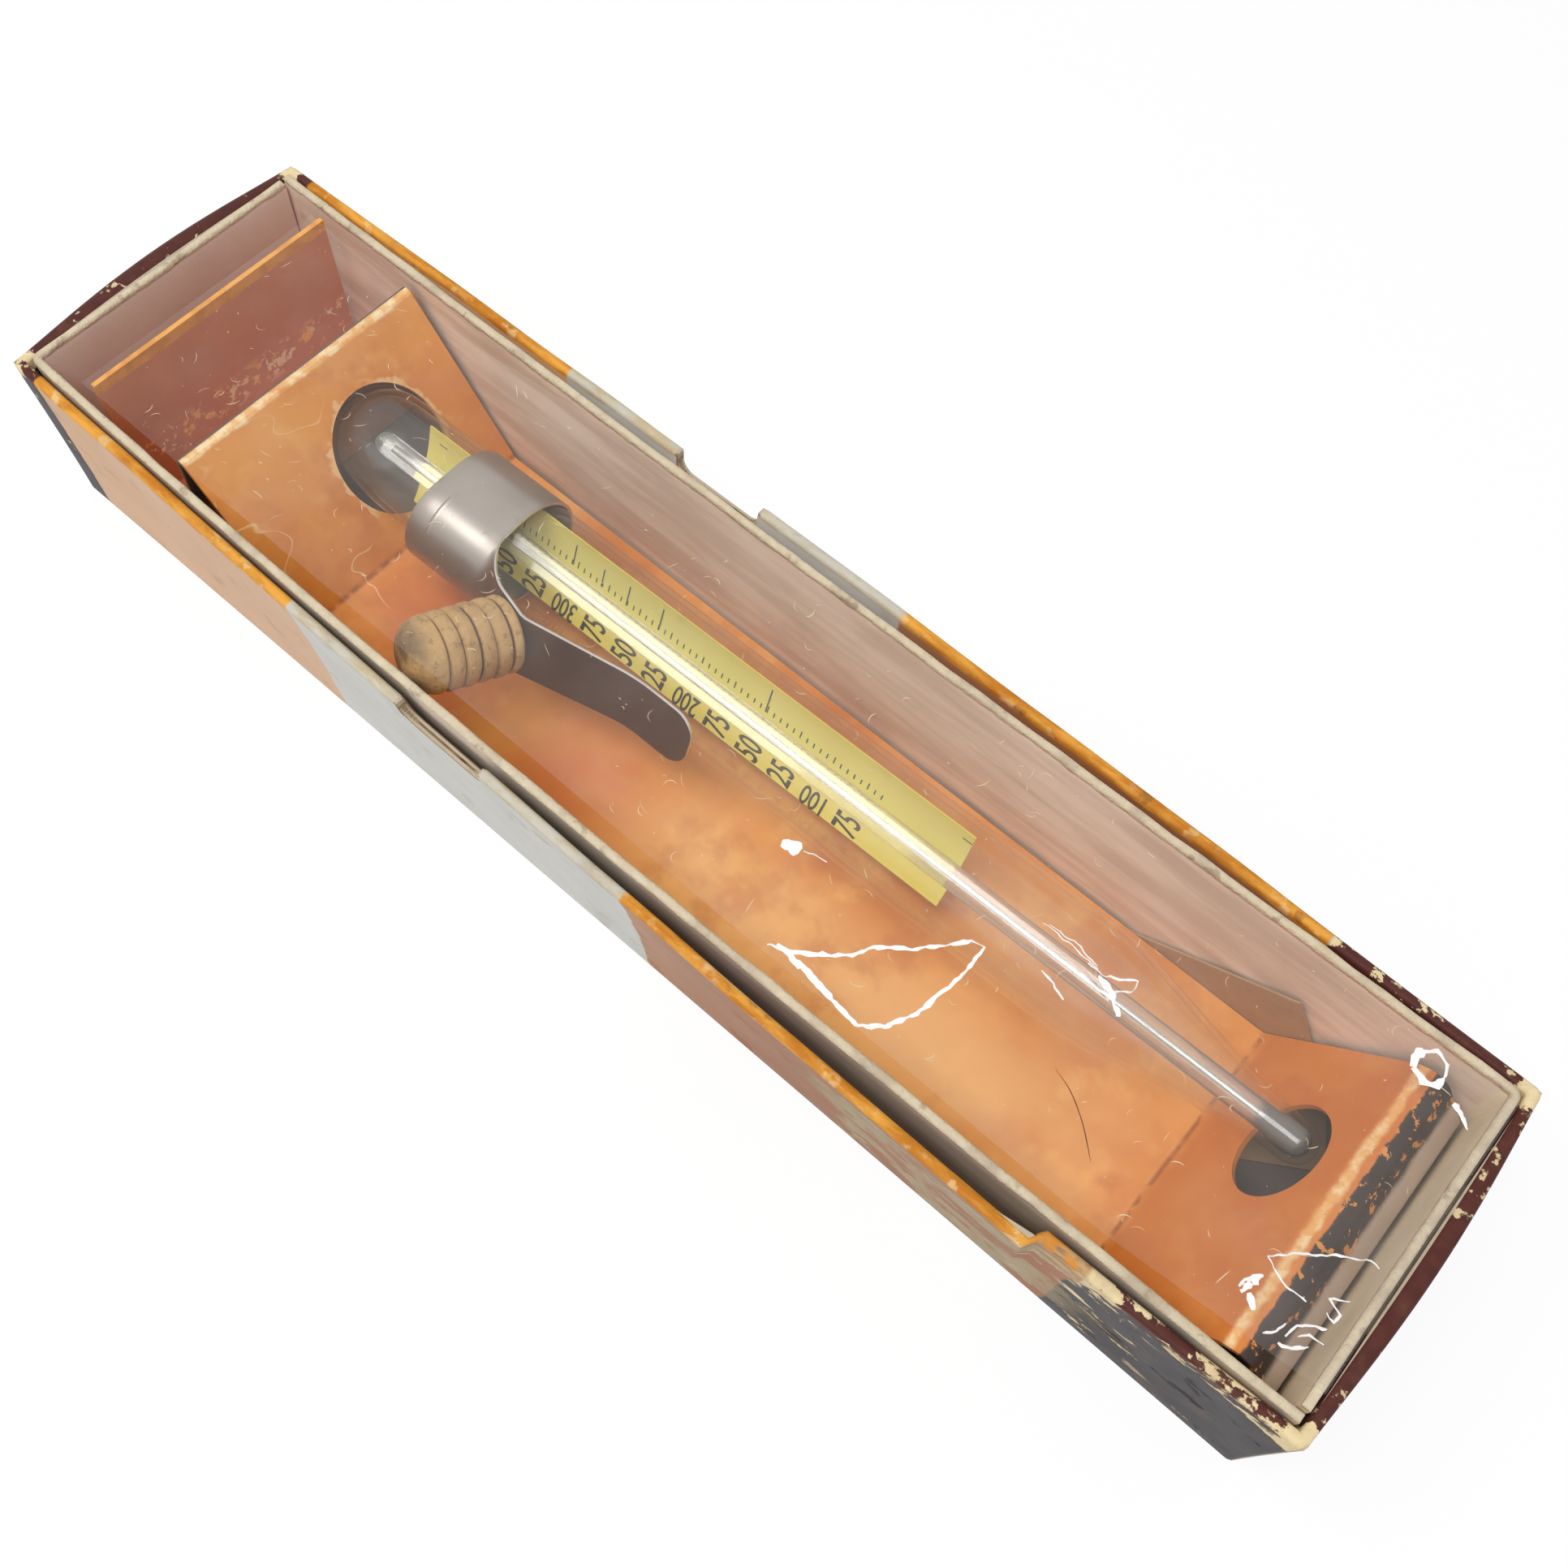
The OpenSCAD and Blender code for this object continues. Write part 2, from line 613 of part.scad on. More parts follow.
// The clip's loop, seen along the tube: round against the tube, a smaller round on the near side, and
// straight flanks between them. A point of it is named by the direction that the sheet faces there.
near_c = wall_out - loop_near_r;
flank_dir = acos(-(band_out - loop_near_r) / near_c);
near_half = 180 - flank_dir;
near_cols = 16;
round_cols = 48;
near_dirs = [for (j = [0 : near_cols]) 180 + near_half * (2 * j / near_cols - 1)];
round_dirs = [for (i = [0 : round_cols]) 360 + flank_dir * (2 * i / round_cols - 1)];
function facing(a) = [cos(a), sin(a)];
function loop_points(less) = concat(
    [for (a = near_dirs) [-near_c, 0] + facing(a) * (loop_near_r - less)],
    [for (a = round_dirs) facing(a) * (band_out - less)]);

// The blade from the side: rising from the loop, over a crest, back towards the tube, then the tip
fall_end = crest_x + blade_fall_run;
blade_end = fall_end + blade_tip_run;
lip_d = tube_r + pan_gap + clip_t;
blade_path = rounded([[blade_x - 1, wall_out], [rise_x, wall_out], [crest_x, wall_out + blade_rise],
    [fall_end, lip_d], [blade_end + 1, lip_d + blade_tip_rise]], [3, 3, 22]);
function blade_d(x) = lookup(x, blade_path);
function blade_lean(x) = atan((blade_d(x + 0.2) - blade_d(x - 0.2)) / 0.4);

// The blade across: half its width along the sheet, with root fillets and tip corners, and its bend
blade_fillet = loop_near_r * near_half * PI / 180 - blade_root_w / 2;
function quarter(r, e) = r - sqrt(max(0, r * r - (r - e) * (r - e)));
function blade_half(x) = let (e = x - blade_x, f = blade_end - x)
    blade_tip_w / 2 + (blade_root_w - blade_tip_w) / 2 * max(0, min(1, (fall_end - x) / blade_fall_run))
    + (e < blade_fillet ? quarter(blade_fillet, e) : 0)
    - (f < blade_tip_r ? quarter(blade_tip_r, f) : 0);
flat_bend = 1 / 250;
function blade_bend(x) = let (u = min(1, (x - blade_x) / blade_flatten), fade = u * u * (3 - 2 * u))
    1 / loop_near_r + (flat_bend - 1 / loop_near_r) * fade;

// One row of points across the blade, on its outside or, set in by the sheet, on its inside
function blade_row(x, less) = let (k = blade_bend(x), open = blade_half(x) * k * 180 / PI,
    d = blade_d(x), lean = blade_lean(x))
    [for (j = [0 : near_cols]) let (a = -open * (2 * j / near_cols - 1), n = [cos(a), sin(a)])
        [x + less * sin(lean), (1 - n[0]) / k - d + less * cos(lean) * n[0],
            n[1] / k - less * cos(lean) * n[1]]];
blade_places = concat([for (e = [0.12, 0.35, 0.7, 1.2, 1.8, 2.5, 3.2]) blade_x + e],
    steps(blade_x + 4, blade_end - blade_tip_r, 34),
    [for (w = [15 : 15 : 90]) blade_end - blade_tip_r * (1 - sin(w))]);

// Pan clip: one sheet. The near columns of the band run on as the rows of the blade
module clip_sheet() {
    m = near_cols + round_cols + 2;
    q = len(blade_places);
    e = near_cols;
    w = near_cols + 1;
    function next(i) = (i + 1) % m;
    function out_at(r, j) = r == 0 ? m + j : 4 * m + (r - 1) * w + j;
    function in_at(r, j) = r == 0 ? 3 * m + j : 4 * m + (q + r - 1) * w + j;
    rings = [for (less = [0, clip_t]) each [for (x = [clip_x, blade_x])
        each [for (p = loop_points(less)) [x, p[0], p[1]]]]];
    rows = [for (less = [0, clip_t]) each [for (x = blade_places) each blade_row(x, less)]];
    quads = concat(
        [for (i = [0 : m - 1]) each [[i, m + i, m + next(i), next(i)],
            [2 * m + i, 2 * m + next(i), 3 * m + next(i), 3 * m + i],
            [i, next(i), 2 * m + next(i), 2 * m + i]]],
        [for (i = [e : m - 1]) [m + next(i), m + i, 3 * m + i, 3 * m + next(i)]],
        [for (r = [0 : q - 1]) for (j = [0 : e - 1]) each [
            [out_at(r, j), out_at(r + 1, j), out_at(r + 1, j + 1), out_at(r, j + 1)],
            [in_at(r, j), in_at(r, j + 1), in_at(r + 1, j + 1), in_at(r + 1, j)]]],
        [for (r = [0 : q - 1]) each [[out_at(r + 1, 0), out_at(r, 0), in_at(r, 0), in_at(r + 1, 0)],
            [out_at(r, e), out_at(r + 1, e), in_at(r + 1, e), in_at(r, e)]]],
        [for (j = [0 : e - 1]) [out_at(q, j + 1), out_at(q, j), in_at(q, j), in_at(q, j + 1)]]);
    polyhedron(points = concat(rings, rows),
        faces = [for (f = quads) each [[f[0], f[1], f[2]], [f[0], f[2], f[3]]]], convexity = 6);
}

module pan_clip() {
    color([0.66, 0.63, 0.6]) in_clip_place() difference() {
        clip_sheet();
        on_seat() translate([0, 0, -3]) cylinder(r = screw_r + screw_gap, h = 6);
    }
}

// Turned wood grip with grooves, bored for the screw
module wood_grip() {
    shoulder = grip_l - grip_tip_r;
    groove_step = shoulder / groove_count;
    color([0.78, 0.64, 0.42]) in_seat_place() rotate_extrude() difference() {
        intersection() {
            union() {
                square([grip_r - grip_root_r, shoulder]);
                translate([grip_r - grip_root_r, grip_root_r]) circle(grip_root_r);
                translate([0, grip_root_r]) square([grip_r, shoulder - grip_root_r]);
                square([grip_r - grip_tip_r, grip_l]);
                translate([grip_r - grip_tip_r, shoulder]) circle(grip_tip_r);
            }
            square([grip_r, grip_l]);
        }
        for (i = [1 : groove_count]) translate([grip_r, (i - 0.25) * groove_step])
            rotate(45) square(groove_d * sqrt(2), center = true);
        square([screw_r + screw_gap, screw_depth + 0.5]);
    }
}

// Screw from inside the clip into the grip
module grip_screw() {
    head_z = clip_t + fill_gap;
    slot_w = 0.6;
    color([0.6, 0.58, 0.55]) in_seat_place() difference() {
        union() {
            translate([0, 0, -head_z - screw_head_t]) cylinder(r = screw_head_r, h = screw_head_t);
            translate([0, 0, -head_z - screw_head_t / 2])
                cylinder(r = screw_r, h = head_z + screw_head_t / 2 + screw_depth);
        }
        translate([-screw_head_r - 1, -slot_w / 2, -head_z - screw_head_t - 1])
            cube([2 * screw_head_r + 2, slot_w, 1 + screw_head_t * 0.45]);
    }
}

outer_board();
outer_wrap();
tray_board();
insert_card();
leaflet();
film_cover();
glass_jacket();
stem_tube();
mercury();
scale_card();
pan_clip();
wood_grip();
grip_screw();
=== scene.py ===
# %% [markdown]
# # Boxed kitchen thermometer: looks
#
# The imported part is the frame. Each piece below either takes a material on the part's own mesh or
# stands for one node with a finer mesh in the same place. Lengths are in millimetres until a piece
# is finished, then it is scaled to metres. X runs along the box to the bulb, Y across, Z up.

# %% Load the frame
import math
import random

import bmesh
import bpy
from mathutils import Euler, Matrix, Vector, noise


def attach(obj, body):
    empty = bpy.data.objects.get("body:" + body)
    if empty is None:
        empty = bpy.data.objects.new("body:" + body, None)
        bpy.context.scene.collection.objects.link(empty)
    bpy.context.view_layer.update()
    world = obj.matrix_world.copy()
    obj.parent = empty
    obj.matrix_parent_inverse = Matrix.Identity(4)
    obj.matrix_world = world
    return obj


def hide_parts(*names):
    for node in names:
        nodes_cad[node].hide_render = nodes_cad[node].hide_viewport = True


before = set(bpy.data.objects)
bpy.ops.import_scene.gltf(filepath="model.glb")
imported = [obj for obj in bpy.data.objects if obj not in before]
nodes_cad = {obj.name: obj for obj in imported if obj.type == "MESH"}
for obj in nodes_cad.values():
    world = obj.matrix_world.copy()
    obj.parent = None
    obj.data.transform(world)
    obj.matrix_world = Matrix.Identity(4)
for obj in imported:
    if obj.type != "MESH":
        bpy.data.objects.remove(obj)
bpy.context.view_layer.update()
scene = bpy.context.scene
MM = 0.001
rng = random.Random(7)
print("frame loaded:", len(nodes_cad), "nodes")

# %% [markdown]
# ## Sizes that the finer pieces share with the part
#
# The part's source can't be read here, so the sizes that a finer mesh repeats are named once.

# %% Sizes
BOX_L, BOX_W, BOX_H = 250.066, 57.5, 34.5
FLARE, NEAR_BOW, FAR_BOW, LEAN_POWER = 1.1, 2.2, 1.3, 1.5
SEAM_X, SEAM_GAP, SEAM_RUN = 84.0, 2.3, 1.3
WRAP_T, BOARD_T, GLUE_T = 0.2, 1.3, 0.05
WALL = 2 * (WRAP_T + GLUE_T) + BOARD_T
NOTCH_X, NOTCH_L, NOTCH_D, NOTCH_R, SHOULDER_R = -24.3, 17.0, 4.4, 2.6, 0.8
TRAY_L, TRAY_W, TRAY_T = 245.666, 53.1, 1.4
TRAY_Z0, TRAY_FLOOR, TRAY_RIM = 1.65, 3.05, 35.5
TRAY_BOW, TRAY_FAR_BOW, TRAY_SKEW = 1.6, 0.5, 0.45
AXIS_Y, AXIS_Z, SKEW = 6.879, 19.15, math.radians(0.7)
DOME_X, JACKET_L, TUBE_R, GLASS_T = -88.465, 196.5, 9.35, 0.9
CONE_L, NARROW_L, NARROW_R = 29.0, 9.0, 3.5
STEM_R, SCALE_BEND, SCALE_TURN = 2.0, 35.0, math.radians(63)
CLIP_TURN = math.radians(20)


def rgb(r, g, b):
    """A screen colour, 0 to 255, as linear values."""
    out = []
    for c in (r, g, b):
        c = c / 255
        out.append(c / 12.92 if c <= 0.04045 else ((c + 0.055) / 1.055) ** 2.4)
    return (out[0], out[1], out[2], 1.0)


TUBE_PLACE = Matrix.Translation((0, AXIS_Y, AXIS_Z)) @ Matrix.Rotation(SKEW, 4, "Z")
CLIP_PLACE = TUBE_PLACE @ Matrix.Rotation(-CLIP_TURN, 4, "X")
print("tube axis at y, z:", AXIS_Y, AXIS_Z)

# %% [markdown]
# ## Helpers for materials
#
# Worn card, board and print are built from noise on Object coordinates, so they stay on the piece
# when it moves. Graph only shortens the making and linking of shader nodes.

# %% Material helpers


class Graph:
    """A material's node tree, with one call per node."""

    def __init__(self, name):
        self.mat = bpy.data.materials.new(name)
        self.mat.use_nodes = True
        self.tree = self.mat.node_tree
        self.bsdf = self.tree.nodes["Principled BSDF"]
        self.out = self.tree.nodes["Material Output"]
        self.where = self.add("TexCoord").outputs["Object"]
        split = self.add("SeparateXYZ", Vector=self.where)
        self.x, self.y, self.z = split.outputs
        print("finish:", name)

    def add(self, kind, **sockets):
        n = self.tree.nodes.new("ShaderNode" + kind)
        for key, value in sockets.items():
            self.put(n.inputs[key], value)
        return n

    def shader(self, kind, **sockets):
        return self.add(kind, **sockets).outputs[0]

    def put(self, socket, value):
        """Links a socket or sets its value; three whole numbers are a screen colour."""
        if isinstance(value, bpy.types.NodeSocket):
            self.tree.links.new(value, socket)
        elif isinstance(value, tuple) and len(value) == 3:
            socket.default_value = rgb(*value)
        else:
            socket.default_value = value

    def math(self, op, a, b=0.0):
        n = self.add("Math")
        n.operation = op
        self.put(n.inputs[0], a)
        self.put(n.inputs[1], b)
        return n.outputs[0]

    def times(self, *values):
        out = values[0]
        for v in values[1:]:
            out = self.math("MULTIPLY", out, v)
        return out

    def plus(self, a, b):
        return self.math("ADD", a, b)

    def size(self, a):
        return self.math("ABSOLUTE", a)

    def most(self, *values):
        out = values[0]
        for v in values[1:]:
            out = self.math("MAXIMUM", out, v)
        return out

    def step(self, value, lo, hi):
        """0 below lo, 1 above hi, smooth between; lo may be above hi."""
        n = self.add("MapRange", Value=value)
        n.interpolation_type = "SMOOTHSTEP"
        n.inputs["From Min"].default_value = lo
        n.inputs["From Max"].default_value = hi
        return n.outputs["Result"]

    def between(self, value, lo, hi, soft):
        return self.times(self.step(value, lo - soft, lo + soft), self.step(value, hi + soft, hi - soft))

    def noise(self, scale, detail=4.0, stretch=None, rough=0.55):
        vector = self.where
        if stretch:
            m = self.add("Mapping", Vector=self.where)
            m.inputs["Scale"].default_value = stretch
            vector = m.outputs[0]
        n = self.add("TexNoise", Vector=vector, Scale=scale, Detail=detail, Roughness=rough)
        return n.outputs["Fac"]

    def lines(self, scale, thin, stretch=None):
        """Thin wandering lines, where a smooth noise crosses its middle."""
        return self.between(self.noise(scale, 2.0, stretch), 0.5 - thin, 0.5 + thin, thin)

    def mix(self, fac, a, b):
        n = self.add("Mix")
        n.data_type = "RGBA"
        self.put(n.inputs["Factor"], fac)
        self.put(n.inputs[6], a)
        self.put(n.inputs[7], b)
        return n.outputs[2]

    def flecks(self, scale, detail, lo, hi):
        """Where a noise rises from lo to hi."""
        return self.step(self.noise(scale, detail), lo, hi)

    def tones(self, scale, detail, a, b):
        """Two colours clouded into each other."""
        return self.mix(self.noise(scale, detail), a, b)

    def spots(self, colour, scale, detail, lo, hi, amount, tone):
        """A colour with spots of another tone."""
        return self.mix(self.times(self.flecks(scale, detail, lo, hi), amount), colour, tone)

    def bump(self, height, strength, distance):
        n = self.add("Bump", Height=height, Strength=strength, Distance=distance)
        self.put(self.bsdf.inputs["Normal"], n.outputs[0])

    def blend(self, fac, a, b):
        """A mix of two shaders."""
        n = self.add("MixShader", Fac=fac)
        self.put(n.inputs[1], a)
        self.put(n.inputs[2], b)
        return n.outputs[0]

    def show(self, shader):
        self.tree.links.new(shader, self.out.inputs["Surface"])
        return self.mat

    def sheen_of_glass(self, least):
        """Reflection of a thin clear wall: little face on, full at a grazing look."""
        facing = self.add("LayerWeight", Blend=0.5).outputs["Facing"]
        return self.plus(least, self.times(self.math("POWER", facing, 5.0), 1.0 - least))

    def finish(self, colour, rough, **more):
        self.put(self.bsdf.inputs["Base Color"], colour)
        self.put(self.bsdf.inputs["Roughness"], rough)
        for key, value in more.items():
            self.put(self.bsdf.inputs[key.replace("_", " ")], value)
        return self.mat


def seen_rays(tree):
    """1 for rays that show a surface to the eye, to metal or to glass, 0 for rays of light."""
    path = tree.nodes.new("ShaderNodeLightPath")
    out = path.outputs["Is Camera Ray"]
    for name in ("Is Glossy Ray", "Is Transmission Ray"):
        n = tree.nodes.new("ShaderNodeMath")
        n.operation = "MAXIMUM"
        tree.links.new(out, n.inputs[0])
        tree.links.new(path.outputs[name], n.inputs[1])
        out = n.outputs[0]
    return out


def dress(node, mat):
    """Gives a node of the part its material."""
    mesh = nodes_cad[node].data
    mesh.materials.clear()
    mesh.materials.append(mat)
    print(node, "dressed")


# %% [markdown]
# ## Helpers for meshes
#
# Most pieces here are sheet: paper, board, metal, film. A sheet starts as one row of points, and the
# row is extruded again and again, each time to its next place. Solidify then gives it a thickness.

# %% Mesh helpers


def piece(name, bm, mats, body, stands_for=(), sharp=40):
    """Turns a mesh built in millimetres into a piece that rides on a body."""
    bmesh.ops.scale(bm, vec=(MM, MM, MM), verts=bm.verts)
    bm.normal_update()
    mesh = bpy.data.meshes.new(name)
    bm.to_mesh(mesh)
    bm.free()
    for m in mats:
        mesh.materials.append(m)
    for p in mesh.polygons:
        p.use_smooth = True
    mesh.set_sharp_from_angle(angle=math.radians(sharp))
    obj = bpy.data.objects.new(name, mesh)
    scene.collection.objects.link(obj)
    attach(obj, body)
    if stands_for:
        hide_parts(*stands_for)
    print(name, len(mesh.polygons), "faces")
    return obj


def start_row(bm, points, closed=False):
    """A row of points joined by edges."""
    row = [bm.verts.new(p) for p in points]
    for a, b in zip(row, row[1:] + row[:1] if closed else row[1:]):
        bm.edges.new((a, b))
    return row


def push_row(bm, row, points, closed=False):
    """Extrudes a row, moves the new row to points and returns it in the same order."""
    ends = row[1:] + row[:1] if closed else row[1:]
    edges = [bm.edges.get((a, b)) for a, b in zip(row, ends)]
    made = bmesh.ops.extrude_edge_only(bm, edges=edges)["geom"]
    new = {v for v in made if isinstance(v, bmesh.types.BMVert)}
    out = []
    for v, p in zip(row, points):
        twin = next(e.other_vert(v) for e in v.link_edges if e.other_vert(v) in new)
        twin.co = p
        out.append(twin)
    return out


def sheet_of_rows(bm, rows, closed=False):
    """A sheet through rows of points that follow each other; returns its first and last row."""
    first = row = start_row(bm, rows[0], closed)
    for points in rows[1:]:
        row = push_row(bm, row, points, closed)
    return first, row


def face_out(bm):
    """Turns faces the same way, outwards on a closed shell."""
    bmesh.ops.recalc_face_normals(bm, faces=bm.faces)


def face_from(bm, inside):
    """Turns all faces of an open sheet so that they look away from a point."""
    bm.normal_update()
    f = max(bm.faces, key=lambda face: face.calc_area())
    face_out(bm)
    bm.normal_update()
    if f.normal.dot(f.calc_center_median() - Vector(inside)) < 0:
        bmesh.ops.reverse_faces(bm, faces=bm.faces)


def thicken(bm, thickness):
    """Gives a sheet its thickness on the side that its faces look away from."""
    bmesh.ops.solidify(bm, geom=list(bm.faces), thickness=thickness)
    face_out(bm)


def soften(bm, chosen, offset, segments):
    """Bevels edges."""
    bmesh.ops.bevel(bm, geom=chosen, offset=offset, segments=segments, affect="EDGES", profile=0.5,
                    material=-1)


def spin_x(bm, profile, steps=72):
    """Turns a profile of (x, r) points about the X axis."""
    verts = [bm.verts.new((x, 0, r)) for x, r in profile]
    edges = [bm.edges.new(pair) for pair in zip(verts, verts[1:])]
    bmesh.ops.spin(bm, geom=verts + edges, cent=(0, 0, 0), axis=(1, 0, 0),
                   angle=2 * math.pi, steps=steps, use_merge=True)
    bmesh.ops.remove_doubles(bm, verts=bm.verts, dist=0.0005)
    face_out(bm)


def add_inner_skin(bm, profile, steps):
    """Adds a turned skin that looks inwards, as the inside of a hollow."""
    inner = bmesh.new()
    spin_x(inner, profile, steps)
    bmesh.ops.reverse_faces(inner, faces=inner.faces)
    tmp = bpy.data.meshes.new("inner skin")
    inner.to_mesh(tmp)
    inner.free()
    bm.from_mesh(tmp)
    bpy.data.meshes.remove(tmp)


def arc(cx, cy, r, a0, a1, n):
    """Points of a circular arc, angles in degrees, both ends included."""
    return [(cx + r * math.cos(math.radians(a0 + (a1 - a0) * i / n)),
             cy + r * math.sin(math.radians(a0 + (a1 - a0) * i / n))) for i in range(n + 1)]


def rounded(path, radii, n=6):
    """A flat path with its corners rounded."""
    out = [Vector(path[0])]
    for i in range(1, len(path) - 1):
        p, q, s = Vector(path[i - 1]), Vector(path[i]), Vector(path[i + 1])
        a, b = (p - q).normalized(), (s - q).normalized()
        half = math.acos(max(-1, min(1, a.dot(b)))) / 2
        c = q + (a + b).normalized() * (radii[i - 1] / math.sin(half))
        t0 = q + a * (radii[i - 1] / math.tan(half)) - c
        turn = math.copysign(math.pi - 2 * half, a.y * b.x - a.x * b.y)
        for k in range(n + 1):
            w = turn * k / n
            out.append(c + Vector((t0.x * math.cos(w) - t0.y * math.sin(w),
                                   t0.x * math.sin(w) + t0.y * math.cos(w))))
    out.append(Vector(path[-1]))
    return out


def lerp(a, b, u):
    return a + (b - a) * u


def leaned(z, z0, z1):
    """How far a wall has leaned out at a height, as a part of what it does at the rim."""
    return ((z - z0 + 1) / (z1 - z0 + 1)) ** LEAN_POWER


def crown(x, half_l):
    return max(0.0, 1 - (x / half_l) ** 2)


# %% [markdown]
# ## Outer box: printed wrap
#
# On the real box one sheet of printed paper is drawn over the board, round the rim and down inside.
# Here it is one sheet too: a closed row goes up the outside, round the rim and down the inside, and
# solidify makes it paper. The thumb notches come from the same rows, whose heights dip there.

# %% Wrap material
WHITE_X0, WHITE_X1 = -0.0572, 0.0130
DARK_X0, DARK_X1, PRINT_EDGE = -0.1188, 0.0908, 0.0006
g = Graph("wrap print")
wobble = g.times(g.plus(g.noise(160, 2), -0.5), 0.0016)
along = g.plus(g.x, wobble)
fine, coarse, patchy = g.noise(900, 6), g.noise(90, 5), g.noise(150, 8, (0.7, 1.0, 1.5), 0.68)
near_side = g.step(g.y, 0.0, -0.02)
top = g.step(g.z, 0.0235, 0.0345)
rim_zone = g.step(g.plus(g.z, g.times(g.plus(coarse, -0.5), 0.0012)), 0.0330, 0.0338)
fibres = g.noise(420, 7, (0.25, 1.0, 1.0), 0.65)
tan_light = g.tones(60, 5, (216, 180, 148), (200, 158, 122))
tan_dark = g.tones(60, 5, (172, 116, 80), (144, 94, 62))
tan = g.mix(g.step(g.x, -0.06, 0.05), tan_light, tan_dark)
rim_orange = g.mix(g.step(fibres, 0.36, 0.64), (224, 160, 66), (186, 116, 34))
rim_orange = g.spots(rim_orange, 260, 7, 0.58, 0.68, 0.55, (236, 204, 146))
rim_orange = g.spots(rim_orange, 180, 7, 0.60, 0.68, 0.55, (126, 84, 40))
tan = g.mix(rim_zone, tan, rim_orange)
white = g.mix(coarse, (207, 206, 200), (190, 189, 183))
aged = g.times(rim_zone, g.plus(0.35, g.times(g.step(fibres, 0.42, 0.62), 0.65)))
white = g.mix(aged, white, g.tones(300, 5, (204, 190, 156), (170, 150, 116)))
slate = g.tones(300, 6, (66, 59, 61), (42, 35, 38))
rim_brown = g.tones(500, 5, (98, 54, 46), (62, 32, 30))
dark_print = g.mix(g.step(g.z, 0.0315, 0.0335), slate, rim_brown)
col = g.mix(g.between(along, WHITE_X0, WHITE_X1, PRINT_EDGE / 2), tan, white)
ends = g.most(g.step(along, DARK_X1, DARK_X1 + PRINT_EDGE), g.step(along, DARK_X0, DARK_X0 - PRINT_EDGE))
col = g.mix(ends, col, dark_print)
torn = g.times(g.between(g.x, 0.0843, 0.0925, 0.0008), near_side, g.step(g.z, 0.0255, 0.0285))
torn_paper = g.mix(g.step(fibres, 0.42, 0.58), (196, 160, 112), (150, 116, 82))
torn_paper = g.mix(g.times(rim_zone, g.flecks(300, 5, 0.40, 0.52)), torn_paper, (206, 136, 54))
col = g.mix(torn, col, torn_paper)

# %% Wrap wear
# Chips: mostly on the dark print, near the rim, the seam and the corners
bulb_side = g.step(g.x, 0.0, 0.02)
by_seam = g.times(g.between(g.x, 0.082, 0.103, 0.004), near_side)
across = g.size(g.y)
corner = g.times(g.step(g.size(g.x), 0.1200, 0.1240), g.step(across, 0.0238, 0.0280))
long_wall = g.step(across, 0.0262, 0.0275)
chip_room = g.times(top, bulb_side, long_wall, g.plus(0.115, g.times(near_side, 0.03)))
chip_room = g.plus(chip_room, g.times(corner, top, 0.19))
chip_room = g.plus(chip_room, g.times(by_seam, 0.05))
chips = g.times(g.step(g.plus(patchy, chip_room), 0.655, 0.675), g.most(ends, by_seam),
                g.step(torn, 1.0, 0.2))
streaks = g.step(g.noise(260, 6, (0.35, 1.0, 2.6)), 0.64, 0.66)
streaks = g.times(streaks, g.between(g.x, 0.090, 0.108, 0.003), near_side)
edge = g.times(g.step(g.z, 0.0326, 0.0344), g.flecks(420, 6, 0.62, 0.67))
edge = g.times(edge, g.plus(g.times(ends, 0.7), 0.15))
col = g.mix(g.most(chips, streaks, edge), col, g.mix(fine, (238, 220, 178), (206, 184, 138)))
# Scuffed grey patches on the print towards the bulb end
scuff_place = g.times(g.between(g.x, 0.046, 0.094, 0.010), near_side, g.step(g.z, 0.0335, 0.0300))
scuff = g.step(g.plus(g.noise(85, 9, (0.8, 1.0, 1.4), 0.66), g.times(scuff_place, 0.15)), 0.59, 0.65)
col = g.mix(g.times(scuff, scuff_place, 0.85), col, g.tones(260, 5, (196, 184, 158), (158, 142, 116)))
smudge = g.times(g.flecks(130, 6, 0.56, 0.74), 0.28)
col = g.mix(smudge, col, (126, 92, 66))
g.bump(g.plus(g.times(fine, 0.3), g.plus(coarse, g.times(chips, -0.6))), 0.3, 0.0003)
gloss = g.plus(0.38, g.plus(g.times(coarse, 0.2), g.times(g.most(chips, scuff), 0.3)))
WRAP_MAT = g.finish(col, gloss, Specular_IOR_Level=0.12)

g = Graph("cut board")
CUT_MAT = g.finish(g.tones(700, 6, (176, 150, 112), (104, 82, 60)), 0.95)

# %% Wrap mesh
END_BULGE = {-1: 2.3, 1: 1.4}
CORNER_R, RIM_R = 1.1, 0.7
NOTCH_STEPS = (9.4, 9.1, 8.85, 8.65, 8.54, 8.46, 8.3, 8.0, 7.6, 7.0, 6.4, 5.9, 3.0, 0.0)
SEAM_STEPS = (81.0, 82.5, 83.4, 84.0, 84.4, 84.9, 85.4, 86.4)
NOTCH_ROOM, SEAM_ROOM, SEAM_FRAY, DENT, FRAY = 9.6, (80.5, 86.8), (83, 86), 0.22, 0.5


def wall_top(x):
    """Height of the outer box's rim along a long wall, with the thumb notch."""
    d = abs(x - NOTCH_X)
    half, run = NOTCH_L / 2, NOTCH_L / 2 - NOTCH_R
    if d >= half + SHOULDER_R:
        return BOX_H
    if d > half:
        return BOX_H - SHOULDER_R + math.sqrt(max(0, SHOULDER_R ** 2 - (half + SHOULDER_R - d) ** 2))
    if d > run:
        return BOX_H - NOTCH_D + NOTCH_R - math.sqrt(max(0, NOTCH_R ** 2 - (d - run) ** 2))
    return BOX_H - NOTCH_D


